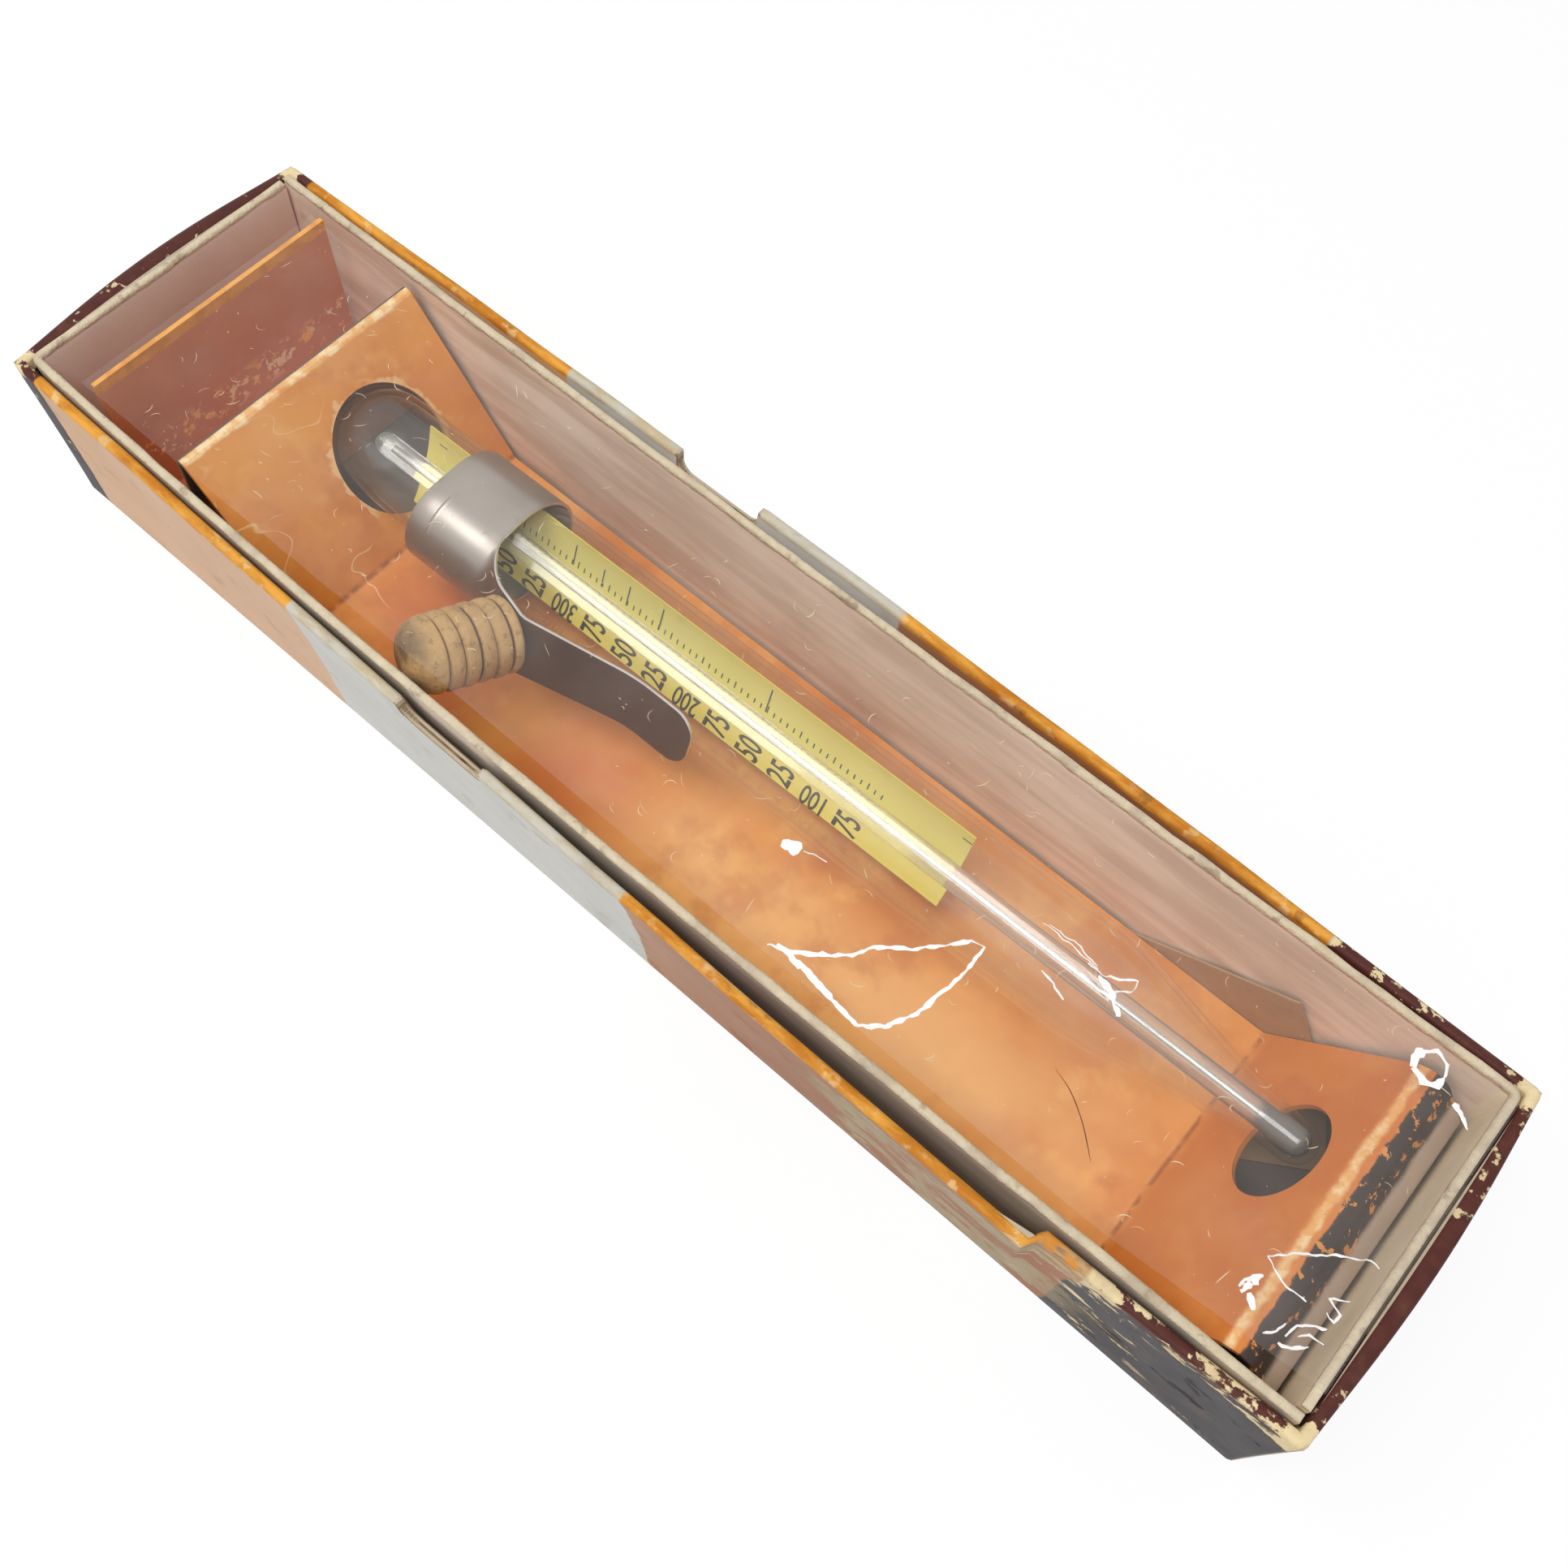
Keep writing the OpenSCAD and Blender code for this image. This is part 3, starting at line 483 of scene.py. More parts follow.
def spring(x):
    """How far the near wall springs out towards its open seam."""
    if x > SEAM_X:
        return SEAM_GAP * max(0.0, 1 - (x - SEAM_X) / SEAM_RUN)
    return SEAM_GAP * ((x + BOX_L / 2) / (SEAM_X + BOX_L / 2)) ** 3


def wrap_row(share, set_in, lift=0.0):
    """One closed row of the wrap: share is its height as a part of the rim's, set_in from the outside."""
    hl, hw = BOX_L / 2 - set_in, BOX_W / 2 - set_in
    rc = max(0.15, CORNER_R - set_in)
    end = hl - rc
    xs = [lerp(-end, end, i / 60) for i in range(61)]
    xs = [x for x in xs if abs(x - NOTCH_X) > NOTCH_ROOM and not SEAM_ROOM[0] < x < SEAM_ROOM[1]]
    xs += [NOTCH_X + s * d for d in NOTCH_STEPS for s in ((-1, 1) if d else (1,))] + list(SEAM_STEPS)
    xs.sort()
    out = []
    for side in (-1, 1):
        for x in xs if side < 0 else xs[::-1]:
            z = share * wall_top(x) + lift
            lean = FLARE + (NEAR_BOW * crown(x, hl) + spring(x) if side < 0 else FAR_BOW * crown(x, hl))
            dent = DENT * noise.noise((x * 0.045, side * 7.0, z * 0.02)) * share
            at_seam = side < 0 and SEAM_FRAY[0] < x < SEAM_FRAY[1]
            fray = FRAY * noise.noise((z * 0.9, 3.0, 1.0)) if at_seam else 0.0
            out.append((x + fray, side * (hw + leaned(z, 0, BOX_H) * lean + dent), z))
        z = share * BOX_H + lift
        lean = leaned(z, 0, BOX_H)
        cx, cy = -side * end, side * (hw + lean * FLARE - rc)
        a0 = -90 if side < 0 else 90
        out += [(x, y, z) for x, y in arc(cx, cy, rc, a0, a0 + 90, 5)[1:-1]]
        bulge = END_BULGE[-side] * lean * (1 - 0.75 * set_in / WALL)
        for i in range(21):
            y = lerp(cy, -cy, i / 20)
            out.append((-side * (hl + bulge * (1 - (y / cy) ** 2) ** 1.3), y, z))
        out += [(x, y, z) for x, y in arc(cx, -cy, rc, a0 + 90, a0 + 180, 5)[1:-1]]
    return out


bm = bmesh.new()
rows = [wrap_row(0.0, 0.35), wrap_row(0.0, 0.1, 0.12), wrap_row(0.0, 0.0, 0.4)]
rows += [wrap_row(i / 9 * (BOX_H - RIM_R) / BOX_H, 0.0) for i in range(1, 10)]
rows += [wrap_row(1.0, RIM_R - x, y - RIM_R) for x, y in arc(0, 0, RIM_R, 15, 90, 5)]
rows += [wrap_row(1.0, WALL - RIM_R + x, y - RIM_R) for x, y in arc(0, 0, RIM_R, 90, 0, 5)]
rows += [wrap_row(0.82, WALL), wrap_row(0.66, WALL)]
first = sheet_of_rows(bm, rows, True)[0]
bmesh.ops.contextual_create(bm, geom=[bm.edges.get(p) for p in zip(first, first[1:] + first[:1])])
face_from(bm, (0, 0, 15))
thicken(bm, WRAP_T)
for f in bm.faces:
    c = f.calc_center_median()
    cut = abs(f.normal.z) > 0.3 or abs(f.normal.x) > 0.5
    if cut and abs(c.x - NOTCH_X) < NOTCH_L / 2 + 0.5 and BOX_H - NOTCH_D - 1 < c.z < BOX_H - 0.3:
        f.material_index = 1
piece("wrap_print", bm, [WRAP_MAT, CUT_MAT], "outer_box", ["outer_wrap"], 50)

g = Graph("grey board")
dress("outer_board", g.finish(g.tones(500, 5, (196, 182, 160), (160, 146, 126)), 0.9))

# %% [markdown]
# ## Tray
#
# The tray is one scored board with glued corners. Two corners have split with age, so it is made as
# two L-shaped walls and a floor. A wall is a row drawn round its end and its long side and pushed up
# as the board leans, thickened inwards, and its rim is rounded and made fuzzy where it is worn.

# %% Tray material
g = Graph("tray board")
streak = g.noise(55, 6, (0.5, 4.0, 4.0))
stain = g.flecks(38, 4, 0.50, 0.72)
# Painted light: the walls' tones, the pale and cream end walls among them, are written lighter than the
# board's own, against the shade inside the tray.
wall = g.mix(g.step(streak, 0.34, 0.64), (240, 219, 200), (214, 188, 167))
wall = g.mix(g.times(stain, 0.40), wall, (200, 170, 150))
smears = g.step(g.noise(34, 8, (0.35, 2.5, 5.0), 0.62), 0.53, 0.68)
wall = g.mix(g.times(smears, 0.45), wall, (188, 154, 134))
pale = g.tones(70, 6, (246, 224, 212), (222, 194, 178))
cream = g.tones(160, 7, (248, 236, 208), (224, 204, 168))
wall = g.mix(g.step(g.x, -0.1195, -0.1208), wall, pale)
wall = g.mix(g.step(g.x, 0.1195, 0.1208), wall, cream)
# Painted shade: the tray floor under the sloped panels is darkened.
under_panel = g.most(g.step(g.x, 0.0930, 0.0940), g.step(g.x, -0.0685, -0.0695))
on_floor = g.times(g.step(g.size(g.y), 0.0260, 0.0254), g.step(g.size(g.x), 0.1218, 0.1212))
below = g.times(g.between(g.z, 0.0028, 0.0034, 0.0002), under_panel, on_floor)
wall = g.mix(below, wall, (122, 110, 101))
outside = g.step(g.y, -0.0272, -0.0280)
weathered = g.mix(g.noise(90, 6, (0.5, 1.0, 1.0)), (222, 208, 192), (186, 168, 150))
wall = g.mix(outside, wall, weathered)
rim = g.tones(420, 6, (228, 214, 186), (190, 172, 142))
rim = g.spots(rim, 120, 7, 0.50, 0.68, 0.55, (164, 146, 128))
rim = g.spots(rim, 300, 7, 0.60, 0.70, 0.5, (132, 104, 78))
at_rim = g.step(g.plus(g.z, g.times(g.noise(260, 4), 0.0012)), 0.0349, 0.0356)
g.bump(g.times(g.noise(1500, 7), g.plus(0.12, at_rim)), 0.7, 0.0005)
TRAY_MAT = g.finish(g.mix(at_rim, wall, rim), 0.9)

# %% Tray mesh
TRAY_CORNER, SPLIT, SPLIT_Z, SWAY, RIM_FUZZ = 1.6, 0.55, 14, 0.10, 0.16


def tray_y(side, x, z):
    """Outside of a long wall of the tray: side is -1 for the near one, 1 for the far one."""
    hl = TRAY_L / 2
    bow = TRAY_BOW * (1 - TRAY_SKEW * x / hl) if side < 0 else -TRAY_FAR_BOW
    sway = SWAY * noise.noise((x * 0.06, side * 3.0, 1.0))
    return side * (TRAY_W / 2 + leaned(z, TRAY_Z0, TRAY_RIM) * (FLARE + bow * crown(x, hl)) + sway)


def tray_row(m, z):
    """A row round one end wall and the long wall that it keeps; m is 1 for the near one, -1 for the far."""
    hl, rc = TRAY_L / 2, TRAY_CORNER
    opened = max(0.0, (z - SPLIT_Z) / (TRAY_RIM - SPLIT_Z)) ** 1.4
    end_gap, long_gap = TRAY_T + 0.06 + SPLIT * opened, 0.02 + 0.3 * opened
    free, kept = tray_y(m, -m * hl, z) - m * end_gap, tray_y(-m, -m * hl, z)
    out = [(-m * hl, lerp(free, kept + m * rc, i / 12), z) for i in range(13)]
    a0 = 180 if m > 0 else 0
    out += [(x, y, z) for x, y in arc(-m * (hl - rc), kept + m * rc, rc, a0, a0 + 90, 5)[1:-1]]
    for i in range(49):
        x = m * lerp(rc - hl, hl - long_gap, i / 48)
        out.append((x, tray_y(-m, x, z), z))
    return out


for m, name in ((1, "tray_near_wall"), (-1, "tray_far_wall")):
    bm = bmesh.new()
    sheet_of_rows(bm, [tray_row(m, z) for z in (TRAY_FLOOR, 9, 15, 20, 24, 28, 31, 33.5, TRAY_RIM)])
    face_from(bm, (0, 0, 20))
    thicken(bm, TRAY_T)
    rim_edges = [e for e in bm.edges
                 if min(v.co.z for v in e.verts) > TRAY_RIM - 0.01 and e.calc_face_angle(0) > 1]
    soften(bm, rim_edges, 0.6, 4)
    for v in bm.verts:
        if v.co.z > TRAY_RIM - 1.3:
            p = v.co * 0.42
            v.co.y += RIM_FUZZ * noise.noise(p + Vector((m * 9, 0, 4)))
            v.co.z += RIM_FUZZ * noise.noise(p + Vector((0, m * 9, 8)))
    piece(name, bm, [TRAY_MAT], "tray", ["tray_board"], 50)

bm = bmesh.new()
bmesh.ops.create_cube(bm, size=1.0)
bmesh.ops.scale(bm, vec=(TRAY_L, TRAY_W, TRAY_T), verts=bm.verts)
bmesh.ops.translate(bm, vec=(0, 0, TRAY_Z0 + TRAY_T / 2), verts=bm.verts)
soften(bm, list(bm.edges), 0.4, 2)
piece("tray_floor", bm, [TRAY_MAT], "tray", ["tray_board"], 50)

# %% [markdown]
# ## Folded insert and leaflet
#
# One orange card, folded into an upright, a trough and two sloped panels with the tube's holes. Ink
# has worn off along the folds, the trough is brown, the flap at the bulb end is dark above and pale
# below, and no light gets below the panels. The part's own mesh has the folds, so it only takes a
# material. Below the panels the card is darkened, so that its hidden side reads as shade.

# %% Insert material
FLOOR_Z, CREASE_L, CREASE_R, PANEL_RISE = 5.8, -69.05, 93.375, 1.327
HOLE_Y, HOLE_Z, HOLE_HALF_W, HOLE_HALF_H = 0.0059, 0.0182, 0.0103, 0.00917
g = Graph("orange card")
mottle, worn = g.noise(45, 6), g.noise(320, 7)
base = g.mix(g.step(mottle, 0.28, 0.72), (230, 158, 76), (204, 120, 44))
# Lighter patches on the near middle of the floor.
lighter_near_middle = g.times(g.between(g.x, -0.004, 0.086, 0.022), g.step(g.y, 0.004, -0.010))
base = g.mix(g.times(lighter_near_middle, g.flecks(26, 4, 0.34, 0.60), 0.75), base, (236, 178, 104))
base = g.spots(base, 110, 7, 0.52, 0.70, 0.45, (240, 182, 104))
base = g.spots(base, 75, 7, 0.54, 0.70, 0.45, (182, 94, 30))
# Painted shade: darker orange on the floor under the clip and its blade. The sloped panel at the bulb end
# is written darker too.
clip_shade_and_panel_tone = g.times(g.between(g.x, -0.064, -0.006, 0.012), g.step(g.y, 0.004, -0.006))
clip_shade_and_panel_tone = g.times(clip_shade_and_panel_tone, g.flecks(22, 3, 0.28, 0.50))
clip_shade_and_panel_tone = g.most(clip_shade_and_panel_tone, g.times(g.step(g.x, 0.0930, 0.0950), 0.65))
base = g.mix(g.times(clip_shade_and_panel_tone, 0.8), base, (196, 102, 36))
crack_place = g.times(g.between(g.x, -0.087, -0.064, 0.004), g.step(g.y, 0.003, -0.005))
cracks = g.times(g.lines(70, 0.0035, (1.0, 0.6, 1.0)), crack_place, g.flecks(60, 3, 0.38, 0.46))
base = g.mix(g.times(cracks, 0.75), base, (246, 210, 158))
FOLD_W = 0.0003
fold = g.most(*[g.between(g.x, c * MM - FOLD_W, c * MM + FOLD_W, FOLD_W) for c in (CREASE_L, CREASE_R)])
# The floor's two folds are darkened in broken lengths.
base = g.mix(g.times(fold, g.step(worn, 0.36, 0.56), 0.7), base, (140, 72, 34))
# Painted light: the trough's brown is written lighter than the card's own, against the shade in the trough.
brown = g.tones(120, 6, (224, 150, 106), (194, 121, 82))
in_trough = g.step(g.x, -0.0912, -0.0916)
col = g.mix(in_trough, base, brown)
flap = g.step(g.plus(g.x, g.times(g.noise(240, 6), 0.002)), 0.1139, 0.1143)
dark = g.tones(200, 6, (66, 52, 48), (38, 30, 29))
flap_chips = g.step(g.noise(430, 8, None, 0.66), 0.570, 0.588)
dark = g.mix(flap_chips, dark, (214, 140, 66))
# The flap's lower part is painted a pale tone.
pale_below = g.step(g.plus(g.x, g.times(g.noise(180, 5), 0.0012)), 0.1176, 0.1188)
dark = g.mix(pale_below, dark, g.tones(140, 5, (214, 196, 180), (180, 160, 146)))
col = g.mix(flap, col, dark)

# %% Insert wear
ragged = g.times(g.plus(worn, -0.5), 0.0016)
top_l = g.times(g.step(g.plus(g.z, ragged), 0.0329, 0.0335), g.between(g.x, -0.0930, -0.0870, 0.0004))
top_r = g.between(g.plus(g.x, ragged), 0.1109, 0.1121, 0.0004)
worn_edge = g.mix(g.flecks(420, 6, 0.38, 0.60), (246, 220, 170), (232, 176, 104))
col = g.mix(g.most(g.times(top_l, g.step(worn, 0.30, 0.48)), g.times(top_r, 0.85)), col, worn_edge)
top_u = g.times(g.step(g.plus(g.z, g.times(ragged, 0.4)), 0.0328, 0.0332), g.step(g.x, -0.1085, -0.1092))
upright_rim = g.mix(g.flecks(300, 6, 0.40, 0.62), (236, 168, 72), (218, 146, 54))
col = g.mix(top_u, col, upright_rim)
crease = g.times(g.between(g.z, 0.0112, 0.0168, 0.0020), g.step(g.x, -0.1080, -0.1092))
foot = g.times(g.step(g.z, 0.0085, 0.0065), g.between(g.x, -0.1000, -0.0940, 0.0015))
drift = g.times(g.plus(g.noise(70, 3), -0.5), 0.35)
flakes = g.step(g.plus(g.noise(520, 7, None, 0.62), drift), 0.535, 0.565)
rubbed = g.times(g.most(crease, g.times(foot, 0.8)), flakes)
bare_card = g.mix(g.flecks(240, 3, 0.42, 0.58), (255, 196, 88), (255, 234, 194))
col = g.mix(rubbed, col, bare_card)
hole_y = g.times(g.plus(g.y, -HOLE_Y), 1 / HOLE_HALF_W)
hole_z = g.times(g.plus(g.z, -HOLE_Z), 1 / HOLE_HALF_H)
hole_r = g.plus(g.times(hole_y, hole_y), g.times(hole_z, hole_z))
torn_ring = g.step(g.plus(hole_r, g.times(g.plus(worn, -0.5), 1.1)), 1.20, 1.08)
torn_ring = g.times(torn_ring, g.step(g.x, -0.0690, -0.0710))
torn_ring = g.times(torn_ring, g.flecks(150, 4, 0.40, 0.52), g.step(in_trough, 1.0, 0.0))
col = g.mix(g.times(torn_ring, 0.7), col, (238, 200, 146))
specks = g.times(in_trough, g.flecks(240, 8, 0.66, 0.69))
col = g.mix(specks, col, (220, 160, 96))
shade = []
for c, rise, x0, x1 in ((CREASE_L, -PANEL_RISE, -0.0915, -0.070), (CREASE_R, PANEL_RISE, 0.0945, 0.1108)):
    panel_z = g.plus(g.times(g.plus(g.x, -c * MM), rise), FLOOR_Z * MM - 0.0006)
    under = g.step(g.math("SUBTRACT", panel_z, g.z), 0.0, 0.0004)
    shade.append(g.times(under, g.between(g.x, x0, x1, 0.0003)))
col = g.mix(g.most(*shade), col, (88, 78, 72))
g.bump(g.plus(mottle, g.plus(g.times(g.noise(1100, 5), 0.05), g.times(cracks, 0.3))), 0.25, 0.0006)
dress("insert_card", g.finish(col, g.plus(0.42, g.times(worn, 0.25))))

g = Graph("leaflet paper")
print_tone = g.tones(300, 5, (190, 158, 120), (164, 130, 96))
dress("leaflet", g.finish(g.mix(g.times(g.noise(60, 4), 0.4), print_tone, (140, 104, 78)), 0.85))

# %% [markdown]
# ## Glass jacket
#
# The jacket is drawn glass tube, closed to a dome at one end and drawn out to a narrow end round the
# bulb. Outer and inner skins are turned from the same outline. Thin glass hardly bends what lies
# behind it, so each skin lets the view through and reflects more the flatter it is looked at. Only a
# few transparent skins in a row are followed, so the view passes by a refraction that bends nothing.

# %% Jacket


def jacket_profile(wall):
    """(x, r) along the axis from the dome's pole to the tip's pole."""
    r, n = TUBE_R - wall, NARROW_R - wall
    straight = DOME_X + JACKET_L - CONE_L - NARROW_L
    taper = straight + CONE_L
    path = arc(DOME_X + TUBE_R, 0, r, 180, 90, 20)
    path += [(lerp(DOME_X + TUBE_R, straight, i / 24), r) for i in range(1, 24)]
    shoulder = rounded([(straight - 12, r), (straight, r), (taper, n), (taper + 5, n)], [30, 30], 10)
    path = [p for p in path if p[0] < straight - 8] + [(p.x, p.y) for p in shoulder[1:-1]]
    tip = DOME_X + JACKET_L - NARROW_R
    return path + arc(tip, 0, n, 90, 0, 12)


GLASS_TINT = (0.985, 0.99, 0.985, 1.0)
g = Graph("jacket glass")
clear = g.shader("BsdfTransparent", Color=GLASS_TINT)
shine = g.shader("BsdfGlossy", Color=(1, 1, 1, 1), Roughness=0.03)
dust = g.shader("BsdfDiffuse", Color=(220, 214, 206))
smear = g.times(g.step(g.noise(90, 5, (0.4, 1.0, 1.0)), 0.50, 0.78), 0.05)
through = g.shader("BsdfRefraction", Color=GLASS_TINT, Roughness=0.0, IOR=1.0)
clear = g.blend(seen_rays(g.tree), clear, through)
JACKET_MAT = g.show(g.blend(g.sheen_of_glass(0.035), g.blend(smear, clear, dust), shine))
bm = bmesh.new()
spin_x(bm, jacket_profile(0.0), 96)
add_inner_skin(bm, jacket_profile(GLASS_T), 96)
bmesh.ops.transform(bm, matrix=TUBE_PLACE, verts=bm.verts)
piece("jacket", bm, [JACKET_MAT], "thermometer", ["glass_jacket"], 80)

# %% [markdown]
# ## Stem, bulb and mercury
#
# The stem is thick glass rod with a fine bore that widens into the bulb. It is thick enough to bend
# the view, so it is real refracting glass; lamps shine straight through it, or the card behind it
# would lie in a black shadow. The mercury stays the part's own mesh.

# %% Stem
BORE_R, BULB_R, BULB_T = 0.4, 2.35, 0.45
STEM_X0, BULB_X0, BULB_X1 = DOME_X + 7.4, DOME_X + 188.35, DOME_X + 195.35


def bulb_outline(r, neck_r):
    """The bulb from where a neck meets it to its end."""
    start = math.degrees(math.asin(neck_r / r))
    return arc(BULB_X0 + BULB_R, 0, r, 180 - start, 90, 8) + arc(BULB_X1 - BULB_R, 0, r, 90, 0, 10)


g = Graph("stem glass")
g.finish((244, 247, 245), 0.03, IOR=1.55, Transmission_Weight=1.0)
lamp_ray = g.add("LightPath").outputs["Is Shadow Ray"]
open_way = g.shader("BsdfTransparent", Color=(0.96, 0.97, 0.96, 1.0))
milk = g.shader("BsdfDiffuse", Color=(244, 242, 238))
body = g.blend(g.plus(0.03, g.times(g.noise(120, 4, (0.2, 1.0, 1.0)), 0.10)), g.bsdf.outputs[0], milk)
# Painted shade: a flat grey on the bulb end stands in for the dark of the hole seen through the glass.
dull_bulb_end = g.shader("BsdfDiffuse", Color=(112, 105, 98))
DULL_X0, DULL_X1 = 0.0975, 0.1000
body = g.blend(g.times(g.step(g.x, DULL_X0, DULL_X1), 0.8), body, dull_bulb_end)
gleam = g.shader("BsdfGlossy", Color=(1, 1, 1, 1), Roughness=0.12)
body = g.blend(g.times(g.step(g.x, DULL_X1, DULL_X0), 0.09), body, gleam)
STEM_MAT = g.show(g.blend(lamp_ray, body, open_way))
bm = bmesh.new()
spin_x(bm, arc(STEM_X0 + STEM_R, 0, STEM_R, 180, 90, 10) + bulb_outline(BULB_R, STEM_R), 48)
bore_x0 = STEM_X0 + 2 * STEM_R
add_inner_skin(bm, [(bore_x0, 0), (bore_x0, BORE_R)] + bulb_outline(BULB_R - BULB_T, BORE_R), 24)
bmesh.ops.transform(bm, matrix=TUBE_PLACE, verts=bm.verts)
piece("stem", bm, [STEM_MAT], "thermometer", ["stem_tube"], 80)

g = Graph("mercury")
dress("mercury", g.finish(g.tones(400, 3, (128, 126, 126), (96, 94, 94)), 0.38, Metallic=1.0))

# %% [markdown]
# ## Scale card and its print
#
# A curved yellow card lies behind the stem. Its numbers and ticks are thin ink shapes on the card's
# hollow face: flat figures are laid out on the card and bent to its curve.

# %% Scale card
g = Graph("scale card")
col = g.tones(60, 4, (244, 230, 122), (228, 210, 92))
col = g.spots(col, 140, 6, 0.58, 0.74, 0.3, (206, 184, 96))
dress("scale_card", g.finish(col, g.plus(0.45, g.times(g.noise(200, 3), 0.2))))

g = Graph("scale ink")
INK = g.finish(g.tones(900, 4, (44, 40, 28), (76, 68, 44)), 0.6)


def on_card(s, w, lift=0.04):
    """A point of the card's hollow face: s along the tube, w across the card."""
    a = w / SCALE_BEND
    r = SCALE_BEND - lift
    p = Vector((r * math.sin(a), SCALE_BEND - STEM_R - 0.1 - r * math.cos(a)))
    c, t = math.cos(SCALE_TURN), math.sin(SCALE_TURN)
    return TUBE_PLACE @ Vector((s, p.x * c - p.y * t, p.x * t + p.y * c))


def bar(bm, s0, w0, s1, w1, thick):
    """A straight ink line on the card."""
    a, b = Vector((s0, w0)), Vector((s1, w1))
    n = (b - a).normalized().orthogonal() * thick / 2
    corners = [bm.verts.new(on_card(p.x, p.y)) for p in (a - n, b - n, b + n, a + n)]
    bmesh.ops.contextual_create(bm, geom=corners)


def figure(bm, text, s, w, height, width, across):
    """Plain figures on the card, read across it or along the tube."""
    data = bpy.data.curves.new("figure", "FONT")
    data.body = text
    data.align_x = "CENTER"
    data.align_y = "CENTER"
    data.offset = 0.012
    obj = bpy.data.objects.new("figure", data)
    scene.collection.objects.link(obj)
    mesh = obj.to_mesh()
    made = []
    for v in mesh.vertices:
        a, b = v.co.x * width, v.co.y * height
        made.append(bm.verts.new(on_card(s - b, w + a) if across else on_card(s - a, w - b)))
    for p in mesh.polygons:
        bm.faces.new([made[i] for i in p.vertices])
    obj.to_mesh_clear()
    bpy.data.objects.remove(obj)
    bpy.data.curves.remove(data)


bm = bmesh.new()
FIRST_S, FIRST_VALUE, STEP, STEP_VALUE, STEPS, PARTS = 24.3, 75, 6.8, 25, 12, 5
INK_W, EDGE_INK_W, LEFT_IN, RIGHT_IN, TICK_L, LONG_TICK_L = 0.24, 0.2, -2.3, 1.9, 1.0, 1.4
for k in range(STEPS):
    value = FIRST_VALUE + STEP_VALUE * k
    s = FIRST_S - STEP * k
    if value % 100:
        figure(bm, str(value % 100), s, -6.0, 6.6, 3.5, True)
    else:
        figure(bm, str(value), s, -6.1, 4.9, 3.5, False)
for k in range(-2, STEPS * PARTS):
    s = FIRST_S - STEP * k / PARTS
    length = TICK_L if k % PARTS else LONG_TICK_L
    bar(bm, s, LEFT_IN - length, s, LEFT_IN, INK_W)
    bar(bm, s, RIGHT_IN, s, RIGHT_IN + length, INK_W)
SIDE_LINES = ((-38.0, 6.2), (-31.7, 5.6), (-26.2, 6.0), (-19.1, 6.5), (3.6, 6.9))
for s, w1 in SIDE_LINES:
    bar(bm, s, RIGHT_IN, s, w1, INK_W)
for s0, s1, w in ((41.2, 43.0, 6.2), (-69.5, -67.7, 5.6)):
    bar(bm, s0, w, s1, w, EDGE_INK_W)
face_out(bm)
piece("scale_print", bm, [INK], "thermometer", (), 30)

# %% [markdown]
# ## Pan clip
#
# The clip is one piece of plated sheet: a loop round the tube whose near wall runs on as a blade that
# flattens, bends out over a crest and back. A closed row round the loop is pushed along the tube, then
# only its near points are pushed on along the blade. Solidify and a fine bevel make it cut sheet.

# %% Clip material
g = Graph("clip steel")
cloud, scratch = g.noise(90, 5), g.noise(700, 5, (1.0, 6.0, 6.0))
col = g.mix(cloud, (182, 175, 167), (152, 144, 136))
col = g.spots(col, 200, 7, 0.58, 0.72, 0.4, (118, 104, 92))
g.bump(g.plus(g.times(scratch, 0.2), cloud), 0.06, 0.0003)
# Painted shade: the blade is written darker than the loop, for the shade its face lies in and the dark it
# reflects.
blade_shade = g.step(g.x, -0.0462, -0.0410)
col = g.mix(g.times(blade_shade, 0.85), col, g.mix(cloud, (126, 108, 98), (100, 84, 76)))
CLIP_MAT = g.finish(col, g.plus(0.26, g.times(cloud, 0.2)), Metallic=0.9)

# Cut edges: bare steel, lighter than the plated faces; part of their near-white is a painted highlight for
# the blade's lit upper edge.
g = Graph("cut steel")
EDGE_MAT = g.finish(g.tones(300, 4, (236, 232, 226), (190, 182, 174)), 0.3, Metallic=0.9)

# %% Clip mesh
CLIP_T, BAND_OUT, LOOP_NEAR_R, NEAR_C = 0.6, 10.05, 8.3, 5.1
CLIP_X0, BLADE_X, RISE_X, CREST_X, FALL_END, BLADE_END = -60.665, -44.965, -44.265, -31.665, -12.165, 0.035
WALL_OUT, CREST_D, LIP_D, TIP_D = 13.4, 17.3, 12.15, 12.35
ROOT_HALF, TIP_HALF, TIP_R, FALL_RUN, FLATTEN = 5.95, 5.25, 4.0, 19.5, 6.8
NEAR_COLS, ROUND_COLS, FLAT_BEND = 16, 48, 1 / 250
FLANK = math.degrees(math.acos(-(BAND_OUT - LOOP_NEAR_R) / NEAR_C))
NEAR_HALF = 180 - FLANK
FILLET = LOOP_NEAR_R * math.radians(NEAR_HALF) - ROOT_HALF
loop_pts = arc(-NEAR_C, 0, LOOP_NEAR_R, 180 - NEAR_HALF, 180 + NEAR_HALF, NEAR_COLS)
loop_pts += arc(0, 0, BAND_OUT, 360 - FLANK, 360 + FLANK, ROUND_COLS)
blade_path = rounded([(BLADE_X - 1, WALL_OUT), (RISE_X, WALL_OUT), (CREST_X, CREST_D), (FALL_END, LIP_D),
                      (BLADE_END + 1, TIP_D)], [3, 3, 22], 8)


def blade_d(x):
    """Distance of the blade's outside from the tube's axis."""
    for p, q in zip(blade_path, blade_path[1:]):
        if p.x <= x <= q.x:
            return lerp(p.y, q.y, (x - p.x) / max(1e-9, q.x - p.x))
    return TIP_D


def quarter(r, e):
    return r - math.sqrt(max(0.0, r * r - (r - e) ** 2))


